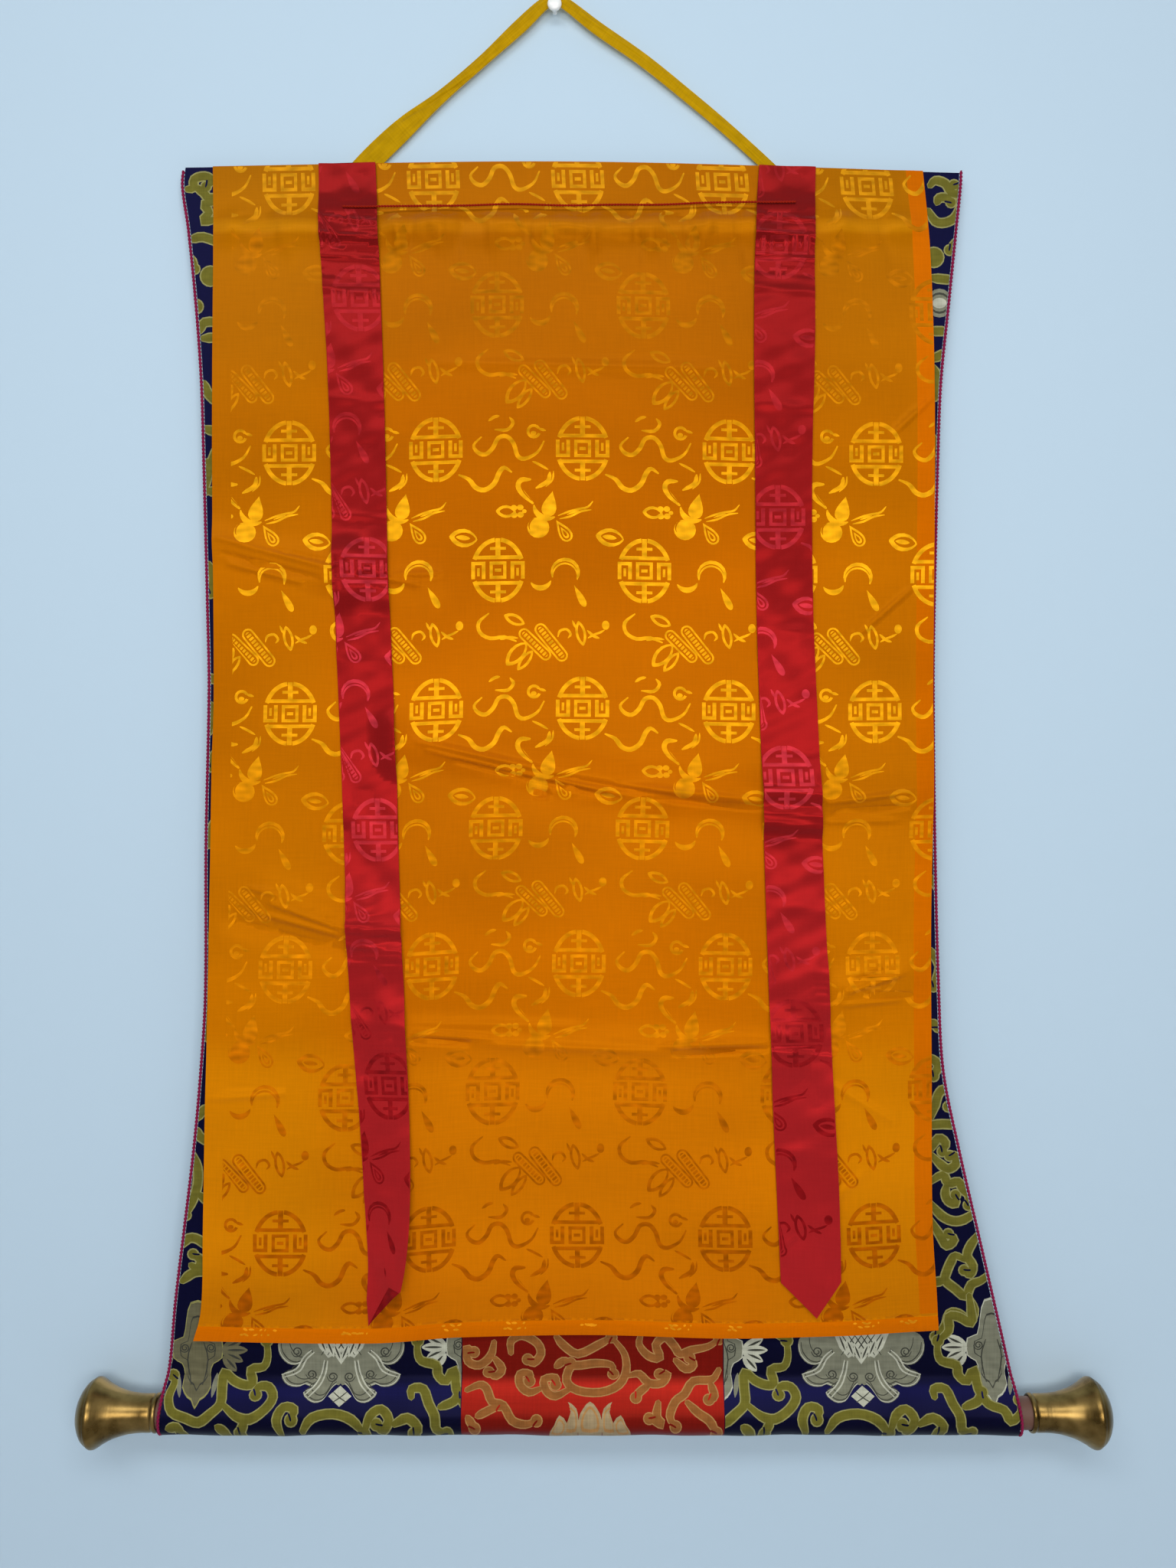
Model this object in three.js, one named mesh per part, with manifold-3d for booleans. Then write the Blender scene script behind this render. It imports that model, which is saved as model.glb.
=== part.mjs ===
// Thangka scroll with its silk veil let down, hung by a tape loop from a wall pin.
// Millimetres, +Z up, the face towards -Y. The origin is where the pin meets the wall (y = 0).
// A drop is a distance below the pin, so z = -drop.
import * as THREE from 'three';
import { mergeVertices } from 'three/addons/utils/BufferGeometryUtils.js';
import Module from 'manifold-3d';

const wasm = await Module();
wasm.setup();

// Driving dimensions
const seamGap = 0.3;
const layerGap = 0.4;
const mount = { thick: 1.6, topDepth: 7, headingEnds: 134, headingFade: 4, headingExtra: 2.4 };
const rod = { radius: 10.8, depth: 25, drop: 972.3, inKnob: 20, sides: 24 };
const casing = { radius: 12.6, stitchDepth: 27, stitchDrop: 945, sewnDepth: 25, sewnDrop: 946.5 };
const casingRows = { slope: 2, arc: 10, back: 2 };
const straightRows = 24;
const clothColumns = { side: 6, top: 6, picture: 4, door: 3 };
const hiddenRows = { top: 6, picture: 4, door: 4 };
const picture = { left: -160, right: 175, topDrop: 215, bottomDrop: 790 };
const door = { left: -63.9, right: 116.3 };
const piping = { radius: 1.2, sides: 6, roundRows: 8 };
const veil = { thick: 1, slack: 3.2, slackFrom: 133, slackFull: 260, columns: 22, rows: 50 };
const ribbon = { thick: 1, columns: 4, rows: 48, pointRows: 4, pointFrom: 12, curl: 1.6 };
const crest = { wide: 12, tall: 10 };
const veilCord = { radius: 1, sides: 5, steps: 18 };
const veilCordEnds = { leftX: -145.5, leftDrop: 139.2, rightX: 165.6, rightDrop: 136.5, climb: 26 };
const loop = { columns: 2, rows: 48 };
const pinSides = 20;
const knob = { socket: 11.1, socketDeep: 21, sides: 22, leftNeck: -274.3, rightNeck: 328.6 };

// Outer edge of the brocade mount, piping included
const mountEdge = [
  { drop: 105, left: -257, right: 282.5 },
  { drop: 122, left: -258.8, right: 282 },
  { drop: 152, left: -254.7, right: 279 },
  { drop: 205, left: -249.4, right: 273.7 },
  { drop: 258, left: -245.7, right: 268.4 },
  { drop: 311, left: -244.1, right: 266.3 },
  { drop: 417, left: -241.4, right: 263.7 },
  { drop: 470, left: -240.4, right: 263.1 },
  { drop: 576, left: -242.5, right: 264.2 },
  { drop: 682, left: -243, right: 266.9 },
  { drop: 735, left: -246.2, right: 270 },
  { drop: 788, left: -251, right: 280.6 },
  { drop: 841, left: -257.3, right: 292.8 },
  { drop: 894, left: -263.7, right: 305 },
  { drop: 936, left: -267.4, right: 314.6 },
  { drop: 960, left: -271.5, right: 319.5 },
  { drop: 987, left: -273.4, right: 322 },
];

// Side edges of the veil
const veilEdge = [
  { drop: 105, left: -236, right: 254 },
  { drop: 152, left: -235.6, right: 258.4 },
  { drop: 205, left: -235.6, right: 260.5 },
  { drop: 311, left: -235.6, right: 261.6 },
  { drop: 470, left: -234.5, right: 260.5 },
  { drop: 523, left: -236.1, right: 261 },
  { drop: 629, left: -237.7, right: 259 },
  { drop: 735, left: -239.8, right: 259.4 },
  { drop: 841, left: -242, right: 260 },
  { drop: 894, left: -243.5, right: 263 },
  { drop: 920, left: -250, right: 264 },
];

// Top line shared by the mount and the veil, and the veil's bottom line
const topLine = [
  { x: -258, drop: 110 },
  { x: 8, drop: 106.3 },
  { x: 282, drop: 113.7 },
];
const veilHem = [
  { x: -250, drop: 918.8 },
  { x: -124, drop: 920.4 },
  { x: -66, drop: 916 },
  { x: 24, drop: 914.6 },
  { x: 119, drop: 917 },
  { x: 172, drop: 916 },
  { x: 264, drop: 911 },
];

// Creases of the veil: a ridge stands out by rise, a trough has a negative rise
const creases = [
  { name: 'cord groove', fromX: -120, fromDrop: 139, toX: 140, toDrop: 137, rise: -1.6, half: 7 },
  { name: 'bulge below the cord', fromX: -225, fromDrop: 154, toX: 245, toDrop: 152, rise: 3, half: 11 },
  { name: 'upper left', fromX: -234, fromDrop: 369, toX: -153, toDrop: 391, rise: 4, half: 12 },
  { name: 'upper left tail', fromX: -153, fromDrop: 391, toX: -86, toDrop: 396, rise: 2.6, half: 12 },
  { name: 'long fold, left', fromX: -97, fromDrop: 508, toX: 72, toDrop: 541, rise: 4.5, half: 12 },
  { name: 'long fold, right', fromX: 72, fromDrop: 541, toX: 247, toDrop: 545, rise: 4.5, half: 12 },
  { name: 'lower left pinch', fromX: -220, fromDrop: 630, toX: -143, toDrop: 650, rise: -2.4, half: 9 },
  { name: 'lower left ridge', fromX: -197, fromDrop: 612, toX: -142, toDrop: 632, rise: 4, half: 11 },
  { name: 'right wrinkle', fromX: 200, fromDrop: 676, toX: 240, toDrop: 664, rise: 3.6, half: 11 },
  { name: 'packing fold', fromX: -100, fromDrop: 712, toX: 148, toDrop: 719, rise: 2.8, half: 12 },
  { name: 'low left swell', fromX: -225, fromDrop: 760, toX: -205, toDrop: 880, rise: 2.5, half: 26 },
  { name: 'low right swell', fromX: 215, fromDrop: 780, toX: 205, toDrop: 900, rise: 2.5, half: 26 },
];

// Ribbons: side edges by drop, how far the right edge stands forward, and the pointed end
const ribbonLeft = {
  edges: [
    { drop: 105, left: -162.5, right: -123.6, lift: 0 },
    { drop: 152, left: -162, right: -121.5, lift: 0 },
    { drop: 258, left: -155.6, right: -117.4, lift: 0 },
    { drop: 390, left: -151.8, right: -114, lift: 0.6 },
    { drop: 523, left: -146.4, right: -108.5, lift: 0 },
    { drop: 602, left: -143.6, right: -106.5, lift: 0 },
    { drop: 684, left: -140.5, right: -103, lift: 1 },
    { drop: 764, left: -134, right: -99.5, lift: 2 },
    { drop: 825, left: -130.2, right: -98.5, lift: 6 },
    { drop: 866, left: -128, right: -101.5, lift: 10 },
    { drop: 908, left: -130, right: -111, lift: 12 },
  ],
  pleats: [
    { drop: 139, rise: -0.6, half: 6 },
    { drop: 156, rise: 1.6, half: 7 },
    { drop: 636, rise: 4, half: 8 },
    { drop: 655, rise: 2.6, half: 8 },
  ],
  end: { leftDrop: 889, tipShare: 0.12, tipDrop: 907.7, rightDrop: 880 },
};
const ribbonRight = {
  edges: [
    { drop: 105, left: 141.2, right: 180, lift: 0 },
    { drop: 152, left: 138.4, right: 179, lift: 0 },
    { drop: 227, left: 137, right: 179, lift: 0 },
    { drop: 311, left: 137.7, right: 177, lift: 0 },
    { drop: 412, left: 138.6, right: 177.4, lift: 0.6 },
    { drop: 514, left: 141.8, right: 181.6, lift: 0.6 },
    { drop: 602, left: 144.6, right: 184.9, lift: 0 },
    { drop: 684, left: 147.4, right: 188.6, lift: 0.6 },
    { drop: 765, left: 150.3, right: 192.2, lift: 1.2 },
    { drop: 825, left: 153, right: 195, lift: 1.4 },
    { drop: 902, left: 156.5, right: 196.5, lift: 1.4 },
  ],
  pleats: [
    { drop: 137, rise: -0.6, half: 6 },
    { drop: 156, rise: 1.6, half: 7 },
    { drop: 542, rise: 3, half: 8 },
    { drop: 564, rise: 3, half: 8 },
  ],
  end: { leftDrop: 878, tipShare: 0.58, tipDrop: 901.8, rightDrop: 876 },
};

// Hanging tape: centre line, width, thickness where it folds on itself, and depth from the wall
const loopLine = [
  { x: -146, drop: 128, width: 16, thick: 1, depth: 2.6 },
  { x: -136.5, drop: 111.5, width: 16, thick: 1, depth: 2.6 },
  { x: -106.5, drop: 82.5, width: 15, thick: 1, depth: 3.4 },
  { x: -78.7, drop: 59.7, width: 8.4, thick: 2, depth: 4.2 },
  { x: -50.1, drop: 35.8, width: 7.4, thick: 2, depth: 5 },
  { x: -23.6, drop: 12, width: 9.6, thick: 1.6, depth: 5.6 },
  { x: -7.4, drop: -2.6, width: 8, thick: 2, depth: 6 },
  { x: 0, drop: -5.6, width: 6.8, thick: 2.2, depth: 6 },
  { x: 7.2, drop: -3, width: 7.6, thick: 2, depth: 6 },
  { x: 29.4, drop: 13.6, width: 9.6, thick: 1.6, depth: 5.6 },
  { x: 60.7, drop: 34.8, width: 9.8, thick: 1.6, depth: 5 },
  { x: 90.1, drop: 57.6, width: 9.4, thick: 1.6, depth: 4.2 },
  { x: 120.6, drop: 82.5, width: 9, thick: 1.4, depth: 3.4 },
  { x: 153, drop: 111.5, width: 8.6, thick: 1.2, depth: 2.7 },
  { x: 168, drop: 128, width: 9.6, thick: 1.2, depth: 2.7 },
];

// Turned brass cap: radius at each distance out from the neck
const knobProfile = [
  { out: 0, radius: 12.2 },
  { out: 2, radius: 12.9 },
  { out: 4, radius: 12.2 },
  { out: 10, radius: 12.4 },
  { out: 20, radius: 13.4 },
  { out: 30, radius: 16.2 },
  { out: 38, radius: 20 },
  { out: 43, radius: 23.2 },
  { out: 45, radius: 23.3 },
  { out: 50, radius: 19.5 },
  { out: 54, radius: 13 },
  { out: 56, radius: 6 },
  { out: 56.5, radius: 0 },
];

// White pin: radius at each distance out from the wall, the head in front of the loop
const pinProfile = [
  { out: 0, radius: 0 },
  { out: 0, radius: 1.6 },
  { out: 8.8, radius: 1.6 },
  { out: 9.2, radius: 3.6 },
  { out: 10.2, radius: 4.8 },
  { out: 11.6, radius: 4.8 },
  { out: 12.7, radius: 3.8 },
  { out: 13.1, radius: 2.4 },
  { out: 13.2, radius: 0 },
];

// Finishes
const finish = (color, roughness, metalness = 0) =>
  new THREE.MeshStandardMaterial({ color, roughness, metalness });
const finishes = {
  navy: finish('#1b1a4c', 0.6),
  doorRed: finish('#a5251b', 0.6),
  canvas: finish('#b9a37c', 0.85),
  piping: finish('#8e2a52', 0.6),
  veil: finish('#d17d06', 0.4),
  ribbon: finish('#a51c26', 0.45),
  cord: finish('#6e1218', 0.7),
  tape: finish('#cda50a', 0.5),
  pin: finish('#eeeeea', 0.35),
  wood: finish('#b9926f', 0.7),
  brass: finish('#a8803a', 0.35, 1),
};

// A smooth curve through the rows of a table, read at one place
function readTable(rows, column, at, by = 'drop') {
  const last = rows.length - 1;
  const place = THREE.MathUtils.clamp(at, rows[0][by], rows[last][by]);
  const found = rows.findIndex((row) => row[by] > place);
  const i = found < 0 ? last - 1 : found - 1;
  const span = rows[i + 1][by] - rows[i][by];
  const slope = (k) => {
    const a = rows[Math.max(k - 1, 0)];
    const b = rows[Math.min(k + 1, last)];
    return (b[column] - a[column]) / (b[by] - a[by]);
  };
  const t = (place - rows[i][by]) / span;
  const start = rows[i][column];
  const end = rows[i + 1][column];
  const m0 = slope(i) * span;
  const m1 = slope(i + 1) * span;
  const cubed = 2 * start - 2 * end + m0 + m1;
  const squared = -3 * start + 3 * end - 2 * m0 - m1;
  return ((cubed * t + squared) * t + m0) * t + start;
}

const smoothStep = THREE.MathUtils.smoothstep;
const lerp = THREE.MathUtils.lerp;

// Soft bump of a crease at a distance from its line
const bump = (distance, half) => Math.exp(-((distance / half) ** 2));

// Distance in the plane of the cloth from a point to a crease
function creaseDistance(crease, x, drop) {
  const from = new THREE.Vector3(crease.fromX, crease.fromDrop, 0);
  const to = new THREE.Vector3(crease.toX, crease.toDrop, 0);
  const here = new THREE.Vector3(x, drop, 0);
  return new THREE.Line3(from, to).closestPointToPoint(here, true, new THREE.Vector3()).distanceTo(here);
}

// Depths in front of the wall, at the middle of each cloth
const topOf = (x) => readTable(topLine, 'drop', x, 'x');
const hemOf = (x) => readTable(veilHem, 'drop', x, 'x');
function mountDepth(drop) {
  const share = (drop - topLine[0].drop) / (casing.stitchDrop - topLine[0].drop);
  return lerp(mount.topDepth, casing.stitchDepth, share);
}
function veilDepth(x, drop) {
  const clear = (mount.thick + veil.thick) / 2 + layerGap;
  const slack = veil.slack * smoothStep(drop, veil.slackFrom, veil.slackFull);
  const relief = creases.reduce((sum, c) => sum + c.rise * bump(creaseDistance(c, x, drop), c.half), 0);
  return mountDepth(drop) + clear + Math.max(slack + relief, 0);
}
// A ribbon lies on the highest of the veil close by, as it bridges small creases
function veilCrest(x, drop) {
  const near = [-1, -0.5, 0, 0.5, 1];
  const depths = near.flatMap((i) => near.map((j) => veilDepth(x + i * crest.wide, drop + j * crest.tall)));
  return Math.max(...depths);
}
function ribbonDepth(pleats, x, drop) {
  const relief = pleats.reduce((sum, p) => sum + p.rise * bump(drop - p.drop, p.half), 0);
  return veilCrest(x, drop) + (veil.thick + ribbon.thick) / 2 + layerGap + Math.max(relief, 0);
}

// A geometry with its shared points merged
function merged(geometry) {
  geometry.deleteAttribute('normal');
  geometry.deleteAttribute('uv');
  return mergeVertices(geometry, 1e-6);
}

// A geometry whose every point goes to the place that a function gives
function moved(source, place) {
  const geometry = merged(source);
  const points = geometry.attributes.position;
  for (let i = 0; i < points.count; i += 1) {
    const { x, y, z } = place(points.getX(i), points.getY(i), points.getZ(i));
    points.setXYZ(i, x, y, z);
  }
  return geometry;
}

// A sheet: a box in thin slices whose points are moved to front and back of the cloth.
// place(u, v, side) gives a point, side being +1 on the front and -1 on the back.
function sheet(columns, rows, place) {
  const box = new THREE.BoxGeometry(1, 1, 1, columns, 1, rows);
  return moved(box, (x, y, z) => place(x + 0.5, 0.5 - z, y < 0 ? 1 : -1));
}

// Boolean cut of a box out of a sheet
function toSolid(geometry) {
  const vertProperties = new Float32Array(geometry.attributes.position.array);
  const triVerts = new Uint32Array(geometry.index.array);
  return new wasm.Manifold(new wasm.Mesh({ numProp: 3, vertProperties, triVerts }));
}
function cutBox(geometry, low, high) {
  const size = high.clone().sub(low);
  const cutter = new THREE.BoxGeometry(size.x, size.y, size.z);
  cutter.translate(...low.clone().add(high).multiplyScalar(0.5).toArray());
  const mesh = toSolid(geometry).subtract(toSolid(merged(cutter))).getMesh();
  const cut = new THREE.BufferGeometry();
  cut.setAttribute('position', new THREE.BufferAttribute(mesh.vertProperties, 3));
  cut.setIndex(new THREE.BufferAttribute(mesh.triVerts, 1));
  return cut;
}

// The casing's section as depth and drop: from the stitched line it slopes out to the rod,
// goes round it and comes back up to the stitching behind.
const rodCentre = new THREE.Vector2(rod.depth, rod.drop);
const stitch = new THREE.Vector2(casing.stitchDepth, casing.stitchDrop);
const sewn = new THREE.Vector2(casing.sewnDepth, casing.sewnDrop);
const onCasing = (angle) =>
  new THREE.Vector2(Math.cos(angle), Math.sin(angle)).multiplyScalar(casing.radius).add(rodCentre);
function touchAngle(from, turn) {
  const line = from.clone().sub(rodCentre);
  return line.angle() + turn * Math.acos(casing.radius / line.length());
}
const arcFrom = touchAngle(stitch, 1) - 2 * Math.PI;
const arcTo = touchAngle(sewn, -1);

// The mount's section: reach is 0 at the top, 1 at the stitched line, 2 and 3 at the ends of the
// round, and 4 where the casing ends behind.
function section(topDrop, reach) {
  const part = Math.min(Math.floor(reach), 3);
  const t = reach - part;
  if (part === 1) return stitch.clone().lerp(onCasing(arcFrom), t);
  if (part === 2) return onCasing(lerp(arcFrom, arcTo, t));
  if (part === 3) return onCasing(arcTo).lerp(sewn, t);
  const drop = lerp(topDrop, stitch.y, t);
  return new THREE.Vector2(mountDepth(drop), drop);
}
function reachOf(row, downRows) {
  const counts = [downRows, casingRows.slope, casingRows.arc, casingRows.back];
  let left = row;
  return counts.reduce((reach, count) => {
    const used = Math.min(left, count);
    left -= used;
    return reach + used / count;
  }, 0);
}
function mountPoint(x, topDrop, reach, offset) {
  const step = 1e-4;
  const here = section(topDrop, reach);
  const before = here.clone().sub(section(topDrop, Math.max(reach - step, 0))).normalize();
  const after = section(topDrop, Math.min(reach + step, 4)).sub(here).normalize();
  const run = before.add(after).normalize();
  return new THREE.Vector3(x, -here.x - run.y * offset, -here.y + run.x * offset);
}
function reachDrop(topDrop, reach) {
  return section(topDrop, reach).y;
}
// The cloth is thicker, towards the wall, where the heading is folded over
function mountOffset(drop, side) {
  const heading = 1 - smoothStep(drop, mount.headingEnds, mount.headingEnds + mount.headingFade);
  return side > 0 ? mount.thick / 2 : -mount.thick / 2 - mount.headingExtra * heading;
}
function mountSheet(columns, edgeLeft, edgeRight, topDrop, bottomDrop, downRows) {
  const wraps = bottomDrop === undefined;
  const roundRows = casingRows.slope + casingRows.arc + casingRows.back;
  const rows = downRows + (wraps ? roundRows : 0);
  return sheet(columns, rows, (u, v, side) => {
    const reach = reachOf(v * rows, downRows);
    const guide = topDrop ?? topOf(0);
    const level = reachDrop(guide, reach);
    const x = lerp(edgeLeft(level), edgeRight(level), u);
    const top = topDrop ?? topOf(x);
    if (!wraps) {
      const drop = lerp(top, bottomDrop, reach);
      return new THREE.Vector3(x, -(mountDepth(drop) + mountOffset(drop, side)), -drop);
    }
    return mountPoint(x, top, reach, mountOffset(reachDrop(top, reach), side));
  });
}

// Brocade, picture panel and piping
const inset = 2 * piping.radius + seamGap;
const outerLeft = (drop) => readTable(mountEdge, 'left', drop) + inset;
const outerRight = (drop) => readTable(mountEdge, 'right', drop) - inset;
const half = seamGap / 2;
const fixed = (x) => () => x;
const cutDepth = { front: -100, back: 20 };
const past = 400;

function brocadeSide(left, right, windowLeft, windowRight) {
  const cloth = mountSheet(clothColumns.side, left, right, undefined, undefined, straightRows);
  const low = new THREE.Vector3(windowLeft, cutDepth.front, -picture.bottomDrop - half);
  const high = new THREE.Vector3(windowRight, cutDepth.back, 0);
  return cutBox(cloth, low, high);
}
const brocadeLeft = brocadeSide(outerLeft, fixed(door.left - half), picture.left - half, past);
const brocadeRight = brocadeSide(fixed(door.right + half), outerRight, -past, picture.right + half);
const between = [fixed(picture.left + half), fixed(picture.right - half)];
const pictureTop = picture.topDrop + half;
const pictureBottom = picture.bottomDrop - half;
const brocadeTop = mountSheet(clothColumns.top, ...between, undefined, pictureTop - seamGap, hiddenRows.top);
const picturePanel =
  mountSheet(clothColumns.picture, ...between, pictureTop, pictureBottom, hiddenRows.picture);
const doorEdges = [fixed(door.left + half), fixed(door.right - half)];
const brocadeDoor =
  mountSheet(clothColumns.door, ...doorEdges, pictureBottom + seamGap, undefined, hiddenRows.door);

// A cord along the side edge, down the front and round the casing
function pipingTube(column, towardsMiddle) {
  const rings = straightRows + piping.roundRows;
  const tube = new THREE.CylinderGeometry(piping.radius, piping.radius, 1, piping.sides, rings);
  return moved(tube, (x, y, z) => {
    const reach = reachOf((0.5 - y) * rings, straightRows);
    const level = reachDrop(topOf(0), reach);
    const edge = readTable(mountEdge, column, level) + towardsMiddle * piping.radius;
    return mountPoint(edge + x, topOf(edge), reach, z);
  });
}

// Veil, ribbons and the cord across them
const veilSheet = sheet(veil.columns, veil.rows, (u, v, side) => {
  const level = lerp(topOf(0), hemOf(0), v);
  const x = lerp(readTable(veilEdge, 'left', level), readTable(veilEdge, 'right', level), u);
  const drop = lerp(topOf(x), hemOf(x), v);
  return new THREE.Vector3(x, -(veilDepth(x, drop) + (side * veil.thick) / 2), -drop);
});

function ribbonSheet({ edges, pleats, end }) {
  const tapeRows = ribbon.rows - ribbon.pointRows;
  const shoulder = Math.min(end.leftDrop, end.rightDrop) - ribbon.pointFrom;
  return sheet(ribbon.columns, ribbon.rows, (u, v, side) => {
    const row = v * ribbon.rows;
    const share = u < 0.5 ? u * 2 * end.tipShare : lerp(end.tipShare, 1, u * 2 - 1);
    const straight = Math.min(row / tapeRows, 1);
    const pointed = Math.max(row - tapeRows, 0) / ribbon.pointRows;
    const across = lerp(u, share, pointed);
    const shoulderDrop = across < end.tipShare ? end.leftDrop : end.rightDrop;
    const reachTip = across < end.tipShare ? end.tipShare : 1 - end.tipShare;
    const cut = lerp(end.tipDrop, shoulderDrop, Math.abs(across - end.tipShare) / reachTip);
    const guide = lerp(lerp(topOf(0), shoulder, straight), cut, pointed);
    const x = lerp(readTable(edges, 'left', guide), readTable(edges, 'right', guide), across);
    const drop = lerp(lerp(topOf(x), shoulder, straight), cut, pointed);
    const lift = readTable(edges, 'lift', drop) * across ** ribbon.curl;
    const y = -(ribbonDepth(pleats, x, drop) + lift + (side * ribbon.thick) / 2);
    return new THREE.Vector3(x, y, -drop);
  });
}

function veilCordLine() {
  const points = [];
  const ends = veilCordEnds;
  const onRibbon = ribbon.thick + layerGap;
  for (let i = 0; i <= veilCord.steps; i += 1) {
    const share = i / veilCord.steps;
    const x = lerp(ends.leftX, ends.rightX, share);
    const drop = lerp(ends.leftDrop, ends.rightDrop, share);
    const left = 1 - smoothStep(x, ribbonLeft.edges[1].right, ribbonLeft.edges[1].right + ends.climb);
    const right = smoothStep(x, ribbonRight.edges[1].left - ends.climb, ribbonRight.edges[1].left);
    const over = veil.thick / 2 + veilCord.radius + layerGap + onRibbon * Math.max(left, right);
    points.push(new THREE.Vector3(x, -(veilCrest(x, drop) + over), -drop));
  }
  const outline = new THREE.Shape();
  outline.absarc(0, 0, veilCord.radius, 0, 2 * Math.PI);
  const extrudePath = new THREE.CatmullRomCurve3(points);
  const { steps, sides } = veilCord;
  return new THREE.ExtrudeGeometry(outline, { steps, curveSegments: sides, extrudePath });
}

// Hanging tape, flat to the wall and narrowed where it folds on itself
function loopSheet() {
  const centre = loopLine.map((row) => new THREE.Vector3(row.x, -row.depth, -row.drop));
  const curve = new THREE.CatmullRomCurve3(centre, false, 'centripetal');
  const last = loopLine.length - 1;
  const sized = loopLine.map((row, i) => ({ ...row, share: i / last }));
  return sheet(loop.rows, loop.columns, (u, v, side) => {
    const middle = curve.getPoint(u);
    const along = curve.getTangent(u);
    const across = new THREE.Vector3(along.z, 0, -along.x).normalize();
    const width = readTable(sized, 'width', u, 'share');
    const thick = readTable(sized, 'thick', u, 'share');
    middle.addScaledVector(across, (v - 0.5) * width);
    middle.y -= (side * thick) / 2;
    return middle;
  });
}

// Pin, rod and brass caps
function turned(profile, sides) {
  return new THREE.LatheGeometry(profile.map(({ radius, out }) => new THREE.Vector2(radius, out)), sides);
}
const wallPin = turned(pinProfile, pinSides).rotateX(Math.PI);

const rodLeft = knob.leftNeck - rod.inKnob;
const rodRight = knob.rightNeck + rod.inKnob;
const bottomRod = new THREE.CylinderGeometry(rod.radius, rod.radius, rodRight - rodLeft, rod.sides);
bottomRod.rotateZ(Math.PI / 2);
bottomRod.translate((rodLeft + rodRight) / 2, -rod.depth, -rod.drop);

function brassKnob(neck, outward) {
  const socket = [
    { out: knob.socketDeep, radius: 0 },
    { out: knob.socketDeep, radius: knob.socket },
    { out: 0, radius: knob.socket },
  ];
  const cap = turned([...socket, ...knobProfile], knob.sides);
  cap.rotateZ((-outward * Math.PI) / 2);
  cap.translate(neck, -rod.depth, -rod.drop);
  return cap;
}

// Assembly
const pieces = [
  ['brocade_left', brocadeLeft, finishes.navy],
  ['brocade_right', brocadeRight, finishes.navy],
  ['brocade_top', brocadeTop, finishes.navy],
  ['brocade_door', brocadeDoor, finishes.doorRed],
  ['picture_panel', picturePanel, finishes.canvas],
  ['piping_left', pipingTube('left', 1), finishes.piping],
  ['piping_right', pipingTube('right', -1), finishes.piping],
  ['veil', veilSheet, finishes.veil],
  ['ribbon_left', ribbonSheet(ribbonLeft), finishes.ribbon],
  ['ribbon_right', ribbonSheet(ribbonRight), finishes.ribbon],
  ['veil_cord', veilCordLine(), finishes.cord],
  ['hanging_loop', loopSheet(), finishes.tape],
  ['wall_pin', wallPin, finishes.pin],
  ['bottom_rod', bottomRod, finishes.wood],
  ['knob_left', brassKnob(knob.leftNeck, -1), finishes.brass],
  ['knob_right', brassKnob(knob.rightNeck, 1), finishes.brass],
];
const scroll = new THREE.Group();
for (const [name, geometry, material] of pieces) {
  const mesh = new THREE.Mesh(geometry, material);
  mesh.name = name;
  scroll.add(mesh);
}

export default scroll;
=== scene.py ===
import math

import bmesh
import bpy
import numpy as np
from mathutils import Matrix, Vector
from mathutils.geometry import delaunay_2d_cdt


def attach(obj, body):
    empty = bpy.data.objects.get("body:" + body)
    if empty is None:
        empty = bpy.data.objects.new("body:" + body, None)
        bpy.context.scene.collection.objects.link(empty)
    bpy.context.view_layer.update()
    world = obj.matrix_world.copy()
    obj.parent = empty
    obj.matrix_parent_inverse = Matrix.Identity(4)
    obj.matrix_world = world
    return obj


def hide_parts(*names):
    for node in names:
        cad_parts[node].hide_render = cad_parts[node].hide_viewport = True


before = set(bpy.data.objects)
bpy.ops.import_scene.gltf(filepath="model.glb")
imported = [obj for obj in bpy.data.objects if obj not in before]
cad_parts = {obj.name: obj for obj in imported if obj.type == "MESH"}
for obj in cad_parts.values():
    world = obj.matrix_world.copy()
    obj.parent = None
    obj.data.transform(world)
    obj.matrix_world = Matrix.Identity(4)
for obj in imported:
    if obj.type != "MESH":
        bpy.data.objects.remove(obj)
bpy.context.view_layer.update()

mm = 0.001  # the tables are in millimetres, the scene in metres
print("frame loaded,", len(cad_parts), "nodes")


# reading tables: a smooth curve through the rows, at many places at once
def readTable(rows, column, at):
    table = np.array(rows, float)
    place, value = table[:, 0], table[:, column]
    at = np.clip(np.asarray(at, float), place[0], place[-1])
    i = np.clip(np.searchsorted(place, at, side="right") - 1, 0, len(place) - 2)
    before = np.r_[0, np.arange(len(place) - 1)]
    after = np.r_[np.arange(1, len(place)), len(place) - 1]
    slope = (value[after] - value[before]) / (place[after] - place[before])
    span = place[i + 1] - place[i]
    t = (at - place[i]) / span
    start, end = value[i], value[i + 1]
    m0, m1 = slope[i] * span, slope[i + 1] * span
    cubed, squared = 2 * start - 2 * end + m0 + m1, -3 * start + 3 * end - 2 * m0 - m1
    return ((cubed * t + squared) * t + m0) * t + start


def smoothStep(value, low, high):
    t = np.clip((value - low) / (high - low), 0, 1)
    return t * t * (3 - 2 * t)


def mix(a, b, t):
    return a + (b - a) * t


def bump(distance, half):
    return np.exp(-((distance / half) ** 2))


# camera, square to the cloth as it hangs, at a phone's distance
cameraSetup = {"x": 23, "drop": 536, "depth": 17.2, "distance": 905, "tilt": math.radians(1.37),
               "tallSeen": 1085, "fromWall": 931}


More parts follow.
